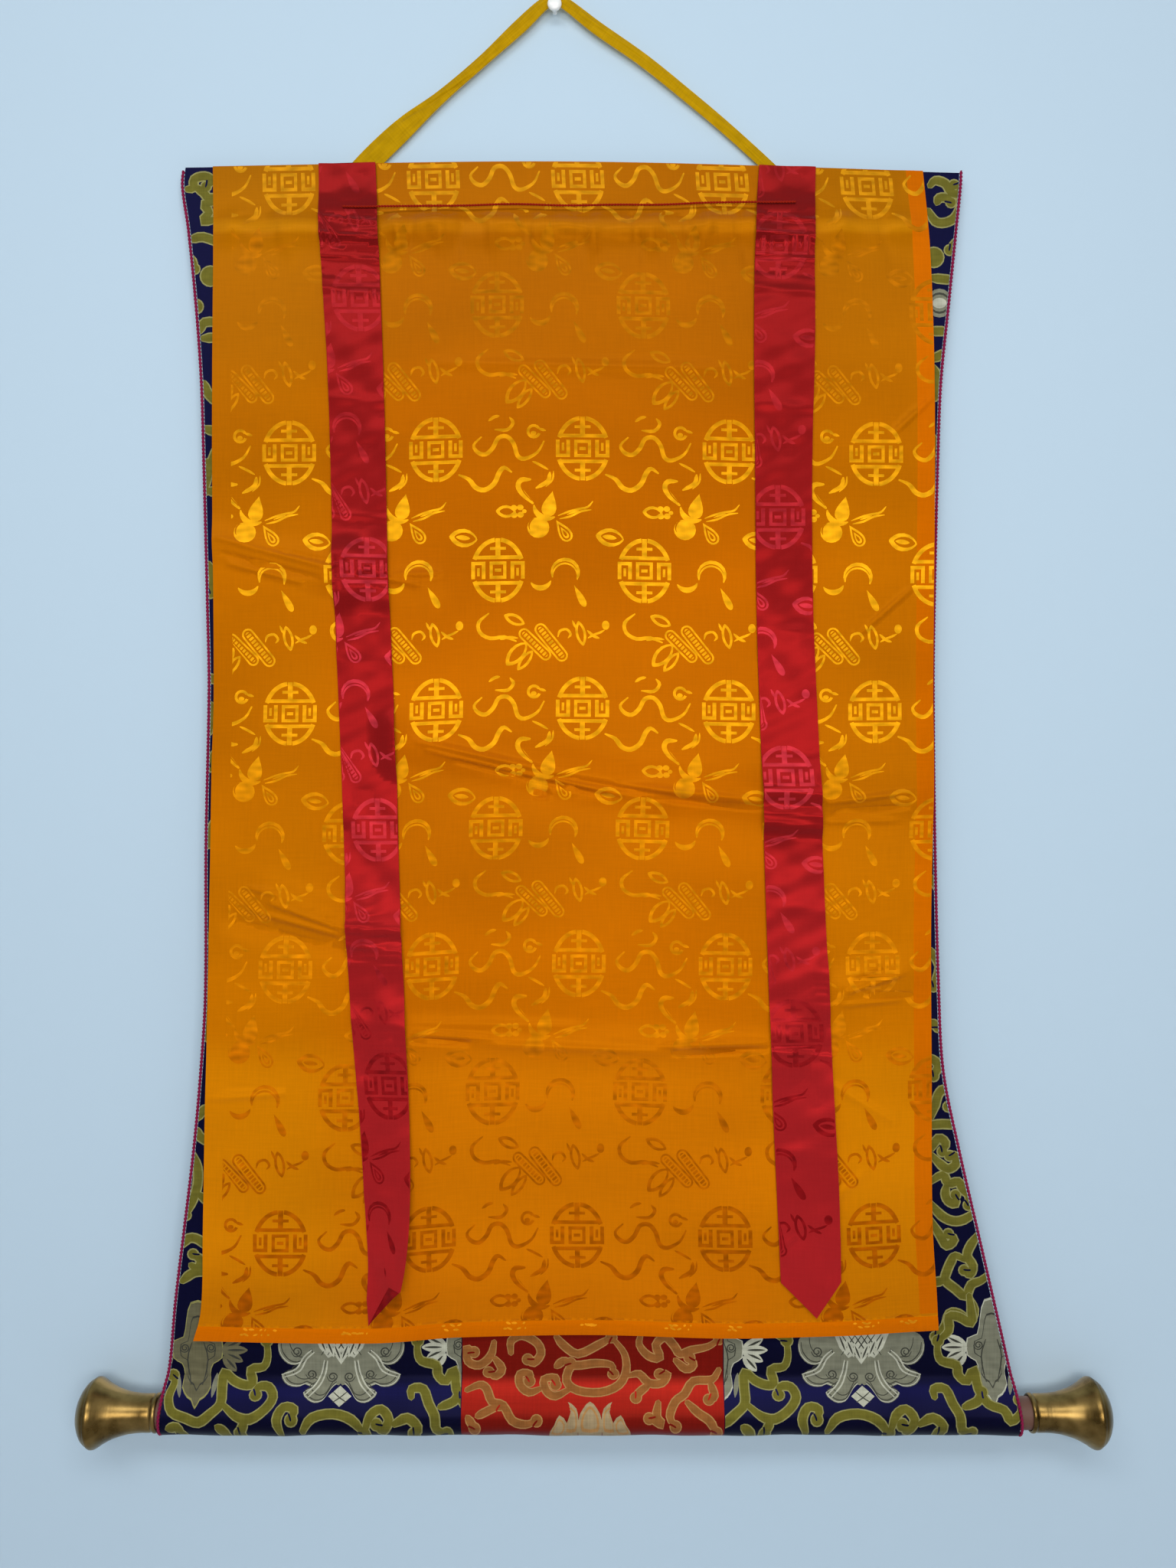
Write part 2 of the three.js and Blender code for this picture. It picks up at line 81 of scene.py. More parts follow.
def makeCamera(setup):
    data = bpy.data.cameras.new("camera")
    data.sensor_fit = "AUTO"
    data.sensor_width = 36
    data.lens = 36 * setup["distance"] / setup["tallSeen"]
    data.clip_start = 0.01
    camera = bpy.data.objects.new("camera", data)
    bpy.context.collection.objects.link(camera)
    y = -setup["depth"] - setup["distance"] * math.cos(setup["tilt"])
    z = -setup["drop"] + setup["distance"] * math.sin(setup["tilt"])
    camera.location = (setup["x"] * mm, y * mm, z * mm)
    camera.rotation_euler = (math.radians(90) - setup["tilt"], 0, 0)
    bpy.context.scene.camera = camera


makeCamera(cameraSetup)
print("camera set")

# the scroll's own sizes, all from the pin: a drop is a distance below it
rod = {"radius": 10.8, "depth": 25, "drop": 972.3}
casing = {"radius": 12.6, "stitchDepth": 27, "stitchDrop": 945, "sewnDepth": 25, "sewnDrop": 946.5}
mount = {"thick": 1.6, "topDepth": 7, "headingEnds": 134, "headingFade": 4, "headingExtra": 2.4}
picture = {"left": -160, "right": 175, "topDrop": 215, "bottomDrop": 790}
door = {"left": -63.9, "right": 116.3}
piping = {"radius": 1.2, "strand": 0.68, "turn": 0.55, "pitch": 5.2}
seamGap, layerGap, seamShown = 0.3, 0.4, 0.06

# drop, left edge, right edge
mountEdge = [
    (105, -257, 282.5), (122, -258.8, 282), (152, -254.7, 279), (205, -249.4, 273.7), (258, -245.7, 268.4),
    (311, -244.1, 266.3), (417, -241.4, 263.7), (470, -240.4, 263.1), (576, -242.5, 264.2),
    (682, -243, 266.9), (735, -246.2, 270), (788, -251, 280.6), (841, -257.3, 292.8), (894, -263.7, 305),
    (936, -267.4, 314.6), (960, -271.5, 319.5), (987, -273.4, 322),
]
veilEdge = [
    (105, -236, 254), (152, -235.6, 258.4), (205, -235.6, 260.5), (311, -235.6, 261.6),
    (470, -234.5, 260.5), (523, -236.1, 261), (629, -237.7, 259), (735, -239.8, 259.4), (841, -242, 260),
    (894, -243.5, 263), (920, -250, 264),
]
# x, drop
topLine = [(-258, 110), (8, 106.3), (282, 113.7)]
veilHem = [(-250, 918.8), (-124, 920.4), (-66, 916), (24, 914.6), (119, 917), (172, 916), (264, 911)]


def topOf(x):
    return readTable(topLine, 1, x)


def hemOf(x):
    return readTable(veilHem, 1, x)


def mountDepth(drop):
    share = (drop - topLine[0][1]) / (casing["stitchDrop"] - topLine[0][1])
    return mix(mount["topDepth"], casing["stitchDepth"], share)


# the mount's section below the stitched line: out to the rod, round it and up behind, as depth and drop
def casingLine():
    centre = np.array([rod["depth"], rod["drop"]])
    stitch = np.array([casing["stitchDepth"], casing["stitchDrop"]])
    sewn = np.array([casing["sewnDepth"], casing["sewnDrop"]])

    def touch(point, turn):
        line = point - centre
        return math.atan2(line[1], line[0]) + turn * math.acos(casing["radius"] / np.linalg.norm(line))

    angle = np.linspace(touch(stitch, 1), touch(sewn, -1) + 2 * math.pi, 40)
    around = centre + casing["radius"] * np.stack([np.cos(angle), np.sin(angle)], axis=1)
    line = np.concatenate([[stitch], around, [sewn]])
    run = np.r_[0, np.cumsum(np.linalg.norm(np.diff(line, axis=0), axis=1))]
    return run + casing["stitchDrop"], line


casingRun, casingPlace = casingLine()
lastRun = casingRun[-1]


def sectionAt(run):
    below = run > casing["stitchDrop"]
    depth = np.where(below, np.interp(run, casingRun, casingPlace[:, 0]), mountDepth(run))
    drop = np.where(below, np.interp(run, casingRun, casingPlace[:, 1]), run)
    return depth, drop


def mountPlace(flat, offset):
    x, run = flat[:, 0], flat[:, 1]
    step = 0.8
    d0, z0 = sectionAt(run - step)
    d1, z1 = sectionAt(np.minimum(run + step, lastRun + step))
    long = np.maximum(np.hypot(d1 - d0, z1 - z0), 1e-9)
    depth, drop = sectionAt(run)
    waves = np.sin(x / 17 + 0.8) + 0.7 * np.sin(x / 7.3 + 2) + 0.5 * np.sin(x / 41)
    swell = 0.3 * (waves + 2.2) * smoothStep(run, 930, 962) * (1 - smoothStep(run, 985, 1010))
    heading = 1 - smoothStep(drop, mount["headingEnds"], mount["headingEnds"] + mount["headingFade"])
    out = offset + swell - np.where(offset < 0, mount["headingExtra"] * heading, 0)
    return np.stack([x, -depth - out * (z1 - z0) / long, -drop + out * (d1 - d0) / long], axis=1)


# where a place that the photograph shows at this drop lies along the cloth's run
def runSeen(drop):
    run = np.linspace(100, 1000, 1801)
    depth, real = sectionAt(run)
    middle = cameraSetup["drop"]
    seen = middle + (real - middle) * cameraSetup["distance"] / (cameraSetup["fromWall"] - depth)
    rising = np.maximum.accumulate(seen)
    return np.interp(drop, rising, run)


# creases of the veil: from x, drop to x, drop, how far it stands out and its half width
mainCreases = [
    (-120, 139, 140, 137, -1.6, 7), (-225, 154, 245, 152, 3, 11), (-234, 369, -153, 391, 4, 12),
    (-153, 391, -86, 396, 2.6, 12), (-97, 508, 72, 541, 4.5, 12), (72, 541, 247, 545, 4.5, 12),
    (-220, 630, -143, 650, -2.4, 9), (-197, 612, -142, 632, 4, 11), (200, 676, 240, 664, 3.6, 11),
    (-100, 712, 148, 719, 2.8, 12), (-225, 760, -205, 880, 2.5, 26), (215, 780, 205, 900, 2.5, 26),
]
fineCreases = [
    (-234, 366, -152, 388, 1.5, 2.4), (-230, 377, -160, 395, -1.3, 2), (-152, 388, -92, 399, 1.1, 2.2),
    (-226, 384, -172, 398, 1.2, 2), (-214, 371, -150, 384, -0.8, 1.8), (-112, 392, -78, 391, 0.9, 2.2),
    (-97, 506, 10, 530, 1.6, 2.6), (-70, 519, 40, 545, -1.4, 2), (-90, 512, 0, 535, 1.2, 1.8),
    (-30, 527, 60, 546, 1.2, 2), (0, 530, 100, 548, -1.1, 2), (60, 545, 146, 553, -1.2, 2),
    (40, 536, 146, 548, 1.5, 2.4), (-16, 541, -4, 543, -2, 2.6), (186, 549, 247, 541, 1.6, 2.2),
    (190, 556, 244, 551, -1.5, 2), (186, 562, 236, 561, 0.8, 2), (247, 400, 208, 434, 1.2, 2.2),
    (262, 268, 231, 297, 1, 2.2), (-220, 630, -144, 651, -0.9, 2), (-212, 622, -144, 641, 1.4, 2.2),
    (-197, 617, -143, 637, 1.1, 1.8), (-215, 606, -190, 612, 0.9, 2), (-100, 712, -57, 714, -1.7, 2),
    (-98, 707, -40, 711, 1.2, 2.4), (80, 721, 148, 718, -1.9, 2), (70, 716, 148, 713, 1.2, 2.4),
    (-57, 714, 80, 720, 0.9, 2.8), (200, 679, 240, 666, 1.5, 2), (216, 681, 248, 681, -1.7, 1.8),
    (196, 688, 240, 684, 1.1, 2.2), (204, 672, 236, 660, -0.9, 1.8), (-238, 752, -180, 748, 0.9, 2.6),
    (-225, 790, -205, 812, 0.8, 3), (150, 860, 215, 800, 0.8, 3.4), (190, 742, 236, 770, 0.8, 3),
    (-85, 246, 120, 250, 0.6, 4), (-100, 700, 20, 702, 0.5, 3.4),
]
# gathers that hang from the cord: x, lean, rise, half width
gathers = [
    (-112, 4, 0.9, 4), (-98, -3, -0.7, 3.4), (-84, 5, 0.8, 5), (-62, -4, -0.6, 4), (-46, 3, 0.9, 4.6),
    (-24, 6, -0.7, 4), (-8, -5, 0.8, 4), (14, 3, -0.6, 5), (31, -4, 1, 4.4), (52, 5, -0.7, 3.6),
    (70, -3, 0.9, 5), (90, 4, -0.8, 4), (108, -5, 0.9, 4.4), (126, 3, -0.6, 3.6), (-190, 4, 0.7, 6),
    (-215, -3, -0.5, 5), (200, -4, 0.8, 6), (226, 3, -0.6, 5),
]
veilCloth = {
    "thick": 1.0, "slack": 3.2, "slackFrom": 133, "slackFull": 260, "left": -236, "right": 260, "top": 108,
    "bottom": 916, "hemTop": 906, "hemTall": 13, "hemRoll": 0.9, "sideHem": 12, "plainLeft": -223,
}


def segmentDistance(row, x, drop):
    x0, d0, x1, d1 = row[:4]
    long = (x1 - x0) ** 2 + (d1 - d0) ** 2
    t = np.clip(((x - x0) * (x1 - x0) + (drop - d0) * (d1 - d0)) / long, 0, 1)
    return np.hypot(x - x0 - t * (x1 - x0), drop - d0 - t * (d1 - d0)), t


def veilRelief(x, drop, fine):
    total = np.zeros(np.broadcast(x, drop).shape)
    for row in mainCreases:
        share = 0.6 if fine else 1.0
        total = total + share * row[4] * bump(segmentDistance(row, x, drop)[0], row[5])
    if fine:
        for row in fineCreases:
            distance, t = segmentDistance(row, x, drop)
            total = total + 1.3 * row[4] * bump(distance, row[5]) * np.sqrt(np.clip(4 * t * (1 - t), 0, 1))
        below = smoothStep(drop, 139, 146) * (1 - smoothStep(drop, 152, 186))
        for at, lean, rise, half in gathers:
            total = total + 1.9 * rise * below * bump(x - at - lean * (drop - 140) / 20, half)
        ripple = np.sin(x / 9.1 + 2 * np.sin(x / 37)) * bump(drop - 150, 7)
        held = smoothStep(x, -128, -112) * (1 - smoothStep(x, 132, 146))
        roll = 1.7 + 0.5 * np.sin(x / 17 + 0.8) + 0.4 * np.sin(x / 7.3)
        total = total + 0.8 * ripple + held * roll * bump(drop - 150 - 3 * np.sin(x / 33), 5.5)
        calm = smoothStep(drop, 160, 230)
        waves = np.sin(x / 23 + drop / 71) * np.sin(drop / 39 + 0.6) + np.sin(x / 47 - drop / 53 + 1.2)
        total = total + 0.28 * calm * waves
    return total


def veilDepth(x, drop, fine=True):
    clear = (mount["thick"] + veilCloth["thick"]) / 2 + layerGap
    slack = veilCloth["slack"] * smoothStep(drop, veilCloth["slackFrom"], veilCloth["slackFull"])
    return mountDepth(drop) + clear + np.maximum(slack + veilRelief(x, drop, fine), 0)


# a sheet: flat cut with its woven figures, triangulated together, then laid on the hung surface
def resample(corners, pitch):
    points = []
    for a, b in zip(corners, corners[1:] + corners[:1]):
        steps = max(1, math.ceil(math.dist(a, b) / pitch - 0.2))
        points += [mix(np.array(a, float), np.array(b, float), k / steps) for k in range(steps)]
    return points


def insideOutline(points, outline):
    x, y = points[:, 0], points[:, 1]
    inside = np.zeros(len(points), bool)
    px, py = outline[:, 0], outline[:, 1]
    j = len(outline) - 1
    for i in range(len(outline)):
        crosses = (py[i] > y) != (py[j] > y)
        at = (px[j] - px[i]) * (y - py[i]) / (py[j] - py[i] + 1e-12) + px[i]
        inside ^= crosses & (x < at)
        j = i
    return inside


def awayFromOutline(points, outline, least):
    near = np.full(len(points), np.inf)
    for a, b in zip(outline, np.roll(outline, -1, axis=0)):
        d = b - a
        t = np.clip(((points - a) @ d) / max(d @ d, 1e-12), 0, 1)
        near = np.minimum(near, np.linalg.norm(points - a - t[:, None] * d, axis=1))
    return near > least


def anticlockwise(points):
    points = np.asarray(points, float)
    x, y = points[:, 0], points[:, 1]
    twice = (x * np.roll(y, -1) - np.roll(x, -1) * y).sum()
    return points if twice > 0 else points[::-1]


# which points a figure covers, also where its outline crosses itself
def covered(points, outline):
    winding = np.zeros(len(points), int)
    for (ax, ay), (bx, by) in zip(outline, np.roll(outline, -1, axis=0)):
        side = (bx - ax) * (points[:, 1] - ay) - (by - ay) * (points[:, 0] - ax)
        up = (ay <= points[:, 1]) & (points[:, 1] < by) & (side > 0)
        down = (by <= points[:, 1]) & (points[:, 1] < ay) & (side < 0)
        winding += up.astype(int) - down.astype(int)
    return winding != 0


def triangulate(outline, inner, figures):
    verts = [Vector(p) for p in anticlockwise(outline)]
    face = list(range(len(outline)))
    verts += [Vector(p) for p in inner]
    edges = []
    for points, _ in figures:
        first, count = len(verts), len(points)
        edges += [(first + k, first + (k + 1) % count) for k in range(count)]
        verts += [Vector(p) for p in points]
    flat, _, triangles, _, _, _ = delaunay_2d_cdt(verts, edges, [face], 1, 1e-4, False)
    flat, triangles = np.array([tuple(p) for p in flat]), np.array(triangles)
    middles = flat[triangles].mean(axis=1)
    cut = np.asarray(outline, float)
    inside = insideOutline(middles, cut)
    inside[~inside] = ~awayFromOutline(middles[~inside], cut, 1e-3)
    triangles, middles = triangles[inside], middles[inside]
    order = np.argsort(middles[:, 1])
    heights = middles[order, 1]
    looks = np.zeros(len(triangles), int)
    for points, look in figures:
        low, high = points.min(axis=0), points.max(axis=0)
        near = order[np.searchsorted(heights, low[1]):np.searchsorted(heights, high[1])]
        near = near[(middles[near, 0] > low[0]) & (middles[near, 0] < high[0])]
        looks[near[covered(middles[near], points)]] = look
    return flat, triangles, looks


def rimLoop(triangles):
    follows = {}
    edges = {(int(t[k]), int(t[(k + 1) % 3])) for t in triangles for k in range(3)}
    for a, b in edges:
        if (b, a) not in edges:
            follows[a] = b
    start = next(iter(follows))
    loop, at = [start], follows[start]
    while at != start and len(loop) <= len(follows):
        loop.append(at)
        at = follows[at]
    return loop


def surfaceNormals(place, flat):
    step = 0.05
    across = place(flat + (step, 0), 0) - place(flat - (step, 0), 0)
    along = place(flat + (0, step), 0) - place(flat - (0, step), 0)
    normals = np.cross(along, across)
    return normals / np.maximum(np.linalg.norm(normals, axis=1), 1e-12)[:, None]


# which way the triangles look along Y, all together
def facingY(place, flat, triangles):
    a, b, c = (place(flat[triangles[:, k]], 0) for k in range(3))
    return np.cross(b - a, c - a)[:, 1].sum()


# the flat cut's places as a UV map; gives each corner's vertex
def layFlat(mesh, flat):
    layer = mesh.uv_layers.new(name="flat")
    corner = np.zeros(len(mesh.loops), np.int32)
    mesh.loops.foreach_get("vertex_index", corner)
    layer.data.foreach_set("uv", (flat[corner] * mm).astype(np.float32).ravel())
    return corner


def linked(name, mesh):
    piece = bpy.data.objects.new(name, mesh)
    bpy.context.collection.objects.link(piece)
    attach(piece, "root")
    return piece


# place(flat points, offset) gives places in mm; offset runs towards the front
def makeSheet(name, outline, inner, backInner, figures, place, thick, materials):
    flat, front, looks = triangulate(outline, inner, figures)
    if facingY(place, flat, front) > 0:  # the front faces -Y
        front = front[:, ::-1]
    loop = rimLoop(front)
    edge = flat[loop]
    turnedLoop = anticlockwise(edge)[0, 0] != edge[0, 0] or anticlockwise(edge)[0, 1] != edge[0, 1]
    if turnedLoop:
        loop = loop[::-1]
    backFlat, back, _ = triangulate(flat[loop], backInner, [])
    if facingY(place, backFlat, back) < 0:
        back = back[:, ::-1]
    count = len(flat)
    points = np.concatenate([place(flat, thick / 2), place(backFlat, -thick / 2)]) * mm
    facing = -np.sign(surfaceNormals(place, flat)[:, 1].sum())
    normals = np.concatenate([surfaceNormals(place, flat), -surfaceNormals(place, backFlat)]) * facing
    faces = [tuple(map(int, t)) for t in front] + [tuple(int(i) + count for i in t) for t in back]
    pairs = list(zip(range(len(loop)), loop, loop[1:] + loop[:1]))
    for k, a, b in pairs:
        after = count + (k + 1) % len(loop)
        faces.append((a, b, after, count + k) if turnedLoop else (b, a, count + k, after))
    mesh = bpy.data.meshes.new(name)
    mesh.from_pydata(points.tolist(), [], faces)
    index = np.concatenate([looks, np.zeros(len(back) + len(loop), int)])
    mesh.polygons.foreach_set("material_index", index.astype(np.int32))
    corner = layFlat(mesh, np.concatenate([flat, backFlat]))
    for material in materials:
        mesh.materials.append(material)
    mesh.polygons.foreach_set("use_smooth", np.ones(len(faces), bool))
    cornerNormals = normals[corner]
    rimStart = 3 * (len(front) + len(back))
    cornerNormals[rimStart:] = 0
    mesh.normals_split_custom_set(cornerNormals.tolist())
    mesh.update()
    return linked(name, mesh)


def gridInside(outline, xs, ys, least):
    points = np.array([(x, y) for y in ys for x in xs], float)
    points = points[insideOutline(points, outline)]
    return points[awayFromOutline(points, outline, least)]


# figure shapes, all as closed outlines in the flat cloth
def smoothLine(points, steps=3):
    line = np.array(points, float)
    padded = np.concatenate([[2 * line[0] - line[1]], line, [2 * line[-1] - line[-2]]])
    out = []
    for i in range(1, len(padded) - 2):
        p0, p1, p2, p3 = padded[i - 1:i + 3]
        for k in range(steps):
            t = k / steps
            out.append(0.5 * (2 * p1 + (p2 - p0) * t + (2 * p0 - 5 * p1 + 4 * p2 - p3) * t * t
                              + (3 * p1 - p0 - 3 * p2 + p3) * t ** 3))
    out.append(line[-1])
    return np.array(out)


def smoothLoop(points, steps=2):
    closed = np.concatenate([points[-1:], points, points[:2]])
    return smoothLine(closed, steps)[steps:-1 - steps]


def stroke(points, width, taper=(0.6, 0.6), steps=3):
    line = smoothLine(points, steps)
    tangent = np.gradient(line, axis=0)
    tangent /= np.maximum(np.linalg.norm(tangent, axis=1), 1e-9)[:, None]
    normal = np.stack([-tangent[:, 1], tangent[:, 0]], axis=1)
    t = np.linspace(0, 1, len(line))
    atStart, atEnd = np.clip(t * 5, 0, 1), np.clip((1 - t) * 5, 0, 1)
    half = width / 2 * np.minimum(mix(taper[0], 1, atStart), mix(taper[1], 1, atEnd))
    left, right = line + normal * half[:, None], line - normal * half[:, None]
    cap = half[-1] * 0.7
    tip = line[-1] + tangent[-1] * cap
    tail = line[0] - tangent[0] * half[0] * 0.7
    return np.concatenate([left, [tip], right[::-1], [tail]])


def ellipse(x, y, a, b, turn=0, sides=16):
    angle = np.linspace(0, 2 * math.pi, sides, endpoint=False)
    c, s = math.cos(math.radians(turn)), math.sin(math.radians(turn))
    px, py = a * np.cos(angle), b * np.sin(angle)
    return np.stack([x + px * c - py * s, y + px * s + py * c], axis=1)


def bar(x0, y0, x1, y1):
    return np.array([(x0, y0), (x1, y0), (x1, y1), (x0, y1)], float)


# a figure's outline with no side longer than the pitch, so that it bends with the cloth
def finer(points, pitch=2.5):
    return np.array(resample(list(map(tuple, points)), pitch))


def arcBand(a, b, width, start, end, sides=10):
    angle = np.radians(np.linspace(start, end, sides))
    outer = np.stack([a * np.cos(angle), b * np.sin(angle)], axis=1)
    inner = np.stack([(a - width) * np.cos(angle), (b - width) * np.sin(angle)], axis=1)
    return np.concatenate([outer, inner[::-1]])


# materials
def nodeGroup(name, inputs, outputs):
    group = bpy.data.node_groups.new(name, "ShaderNodeTree")
    for label, kind, value in inputs:
        socket = group.interface.new_socket(name=label, in_out="INPUT", socket_type=kind)
        if value is not None:
            socket.default_value = value
    for label, kind in outputs:
        group.interface.new_socket(name=label, in_out="OUTPUT", socket_type=kind)
    return group, group.nodes.new("NodeGroupInput"), group.nodes.new("NodeGroupOutput")


def mathNode(tree, operation, a, b):
    node = tree.nodes.new("ShaderNodeMath")
    node.operation = operation
    for socket, value in zip(node.inputs, (a, b)):
        if isinstance(value, (int, float)):
            socket.default_value = value
        else:
            tree.links.new(value, socket)
    return node.outputs[0]


def noiseNode(tree, vector, scale, stretch, detail):
    mapping = tree.nodes.new("ShaderNodeMapping")
    mapping.inputs["Scale"].default_value = stretch
    noise = tree.nodes.new("ShaderNodeTexNoise")
    noise.inputs["Scale"].default_value = scale
    noise.inputs["Detail"].default_value = detail
    tree.links.new(vector, mapping.inputs["Vector"])
    tree.links.new(mapping.outputs[0], noise.inputs["Vector"])
    return noise.outputs["Fac"]


# silk: thread slubs both ways, slow unevenness of the dye together with painted sheen bands, and patches of
# painted lustre that stand in for thread highlights
def makeSilkGroup():
    group, into, out = nodeGroup(
        "silk", [("Flat", "NodeSocketVector", None), ("Fine", "NodeSocketFloat", 0.3),
                 ("Slow", "NodeSocketFloat", 0.3), ("Lustre", "NodeSocketFloat", 0.0)],
        [("Height", "NodeSocketFloat"), ("Shade", "NodeSocketFloat")])
    flat = into.outputs["Flat"]
    weft = noiseNode(group, flat, 900, (0.06, 1, 1), 0)
    warp = noiseNode(group, flat, 900, (1, 0.06, 1), 0)
    # the slow noise paints sheen bands as well as uneven dye
    dyeAndSheen = noiseNode(group, flat, 9, (0.6, 1.6, 1), 1)
    # painted lustre: random lighter and darker patches standing in for thread highlights
    patches = noiseNode(group, flat, 260, (0.5, 1, 1), 0)
    threads = mathNode(group, "ADD", weft, warp)
    group.links.new(threads, out.inputs["Height"])
    shade = mathNode(group, "MULTIPLY", mathNode(group, "SUBTRACT", threads, 1.0), into.outputs["Fine"])
    for noise, amount in ((dyeAndSheen, "Slow"), (patches, "Lustre")):
        part = mathNode(group, "MULTIPLY", mathNode(group, "SUBTRACT", noise, 0.5), into.outputs[amount])
        shade = mathNode(group, "ADD", shade, part)
    group.links.new(mathNode(group, "ADD", shade, 1.0), out.inputs["Shade"])
    return group


silkGroup = makeSilkGroup()


def srgb(r, g, b):
    channel = lambda c: c / 12.92 if c <= 0.04045 else ((c + 0.055) / 1.055) ** 2.4
    return tuple(channel(c / 255) for c in (r, g, b)) + (1.0,)


def newMaterial(name):
    material = bpy.data.materials.new(name)
    material.use_nodes = True
    tree = material.node_tree
    return material, tree, tree.nodes["Principled BSDF"]


# painted light by drop on the scroll: colour bands standing in for sheen and shade at each height, from rows
# of drop and colour
def paintedLightByDrop(tree, paintedLightTones):
    place = tree.nodes.new("ShaderNodeTexCoord")
    split = tree.nodes.new("ShaderNodeSeparateXYZ")
    tree.links.new(place.outputs["Object"], split.inputs[0])
    span = tree.nodes.new("ShaderNodeMapRange")
    first, last = paintedLightTones[0][0], paintedLightTones[-1][0]
    span.inputs["From Min"].default_value = -first * mm
    span.inputs["From Max"].default_value = -last * mm
    tree.links.new(split.outputs["Z"], span.inputs["Value"])
    ramp = tree.nodes.new("ShaderNodeValToRGB")
    ramp.color_ramp.interpolation = "EASE"
    stops = ramp.color_ramp.elements
    for drop, tone in paintedLightTones[1:-1]:
        stops.new((drop - first) / (last - first))
    for stop, (drop, tone) in zip(stops, paintedLightTones):
        stop.color = srgb(*tone)
    tree.links.new(span.outputs[0], ramp.inputs[0])
    return ramp.outputs["Color"]


# painted sheen: a tint that grows from the middle of the scroll to its sides, making the sides lighter and
# yellower
def paintedSideSheen(tree, colour, paintedSheen):
    place = tree.nodes.new("ShaderNodeTexCoord")
    split = tree.nodes.new("ShaderNodeSeparateXYZ")
    tree.links.new(place.outputs["Object"], split.inputs[0])
    away = mathNode(tree, "SUBTRACT", split.outputs["X"], paintedSheen["middle"] * mm)
    span = tree.nodes.new("ShaderNodeMapRange")
    span.interpolation_type = "SMOOTHSTEP"
    span.inputs["From Min"].default_value = paintedSheen["from"] * mm
    span.inputs["From Max"].default_value = paintedSheen["full"] * mm
    tree.links.new(mathNode(tree, "ABSOLUTE", away, 0.0), span.inputs["Value"])
    tint = tree.nodes.new("ShaderNodeMix")
    tint.data_type = "RGBA"
    tint.blend_type = "MULTIPLY"
    tree.links.new(span.outputs[0], tint.inputs["Factor"])
    tree.links.new(colour, tint.inputs["A"])
    tint.inputs["B"].default_value = paintedSheen["tint"]
    return tint.outputs["Result"]


# woven cloth, whose shine takes the thread's own colour; where they are given, painted light by drop and
# painted sheen at the sides tint its colour
def cloth(name, colour, rough=0.5, aniso=0.0, bump=0.15, specular=0.3, fine=0.3, slow=0.3, lustre=0.0,
          shine=None, paintedLightTones=None, paintedSheen=None):
    material, tree, shader = newMaterial(name)
    uv = tree.nodes.new("ShaderNodeUVMap")
    uv.uv_map = "flat"
    silk = tree.nodes.new("ShaderNodeGroup")
    silk.node_tree = silkGroup
    tree.links.new(uv.outputs[0], silk.inputs["Flat"])
    silk.inputs["Fine"].default_value = fine
    silk.inputs["Slow"].default_value = slow
    silk.inputs["Lustre"].default_value = lustre
    scale = tree.nodes.new("ShaderNodeMix")
    scale.data_type = "RGBA"
    scale.blend_type = "MULTIPLY"
    scale.inputs["Factor"].default_value = 1
    scale.inputs["A"].default_value = srgb(*colour)
    if paintedLightTones:
        tree.links.new(paintedLightByDrop(tree, paintedLightTones), scale.inputs["A"])
    tree.links.new(silk.outputs["Shade"], scale.inputs["B"])
    woven = paintedSideSheen(tree, scale.outputs["Result"], paintedSheen) if paintedSheen else scale.outputs["Result"]
    tree.links.new(woven, shader.inputs["Base Color"])
    relief = tree.nodes.new("ShaderNodeBump")
    relief.inputs["Strength"].default_value = bump
    relief.inputs["Distance"].default_value = 0.0002
    tree.links.new(silk.outputs["Height"], relief.inputs["Height"])
    tree.links.new(relief.outputs[0], shader.inputs["Normal"])
    gloss = srgb(*(shine or colour))[:3]
    shader.inputs["Specular Tint"].default_value = tuple(c / max(gloss) for c in gloss) + (1.0,)
    shader.inputs["Roughness"].default_value = rough
    shader.inputs["Anisotropic"].default_value = aniso
    shader.inputs["Specular IOR Level"].default_value = specular
    return material


def plain(name, colour, rough, coat=0.0):
    material, tree, shader = newMaterial(name)
    shader.inputs["Base Color"].default_value = srgb(*colour)
    shader.inputs["Roughness"].default_value = rough
    shader.inputs["Coat Weight"].default_value = coat
    return material


# damask veil: one repeat of the figure, in mm from a medallion's middle
damask = {"wide": 100.7, "firstX": -183.1, "rows": [-66, 120, 306.7, 485.3, 660.7, 847.7, 1030], "tall": 179}


def medallion():
    parts = []
    for side in (1, -1):
        for start, end in ((21, 83), (97, 159)):
            parts.append(arcBand(18.8, 22.5, 3, start * side, end * side))
        parts.append(bar(-16.5, side * 7.6, 16.5, side * 10.1))
        parts.append(bar(-1.7, side * 10.1, 1.7, side * 22))
        parts.append(bar(-5.5, side * 14, 5.5, side * 16))
        parts.append(bar(side * 15.8, -6, side * 18.4, 6))
        parts.append(bar(side * 8.6, 3.6, side * 15.8, 6))
        parts.append(bar(side * 8.6, -6, side * 11.2, 3.6))
        parts.append(bar(side * 12.6, -4, side * 14.4, 1.5))
        parts.append(bar(-5.8, side * 3.8, 5.8, side * 6))
        parts.append(bar(side * 3.6, -3.8, side * 5.8, 3.8))
    parts.append(bar(-2.2, -1.1, 2.2, 1.1))
    return parts


def turned(along, across, x, y, turn):
    c, k = math.cos(math.radians(turn)), math.sin(math.radians(turn))
    return np.stack([x + along * c - across * k, y + along * k + across * c], axis=1)


# a drop whose tip points along the turn
def teardrop(x, y, long, wide, turn, sides=20):
    t = 2 * math.pi * np.arange(sides) / sides
    return turned(long * np.cos(t), wide * 1.25 * np.sin(t) * np.sin(t / 2) ** 1.4, x, y, turn)


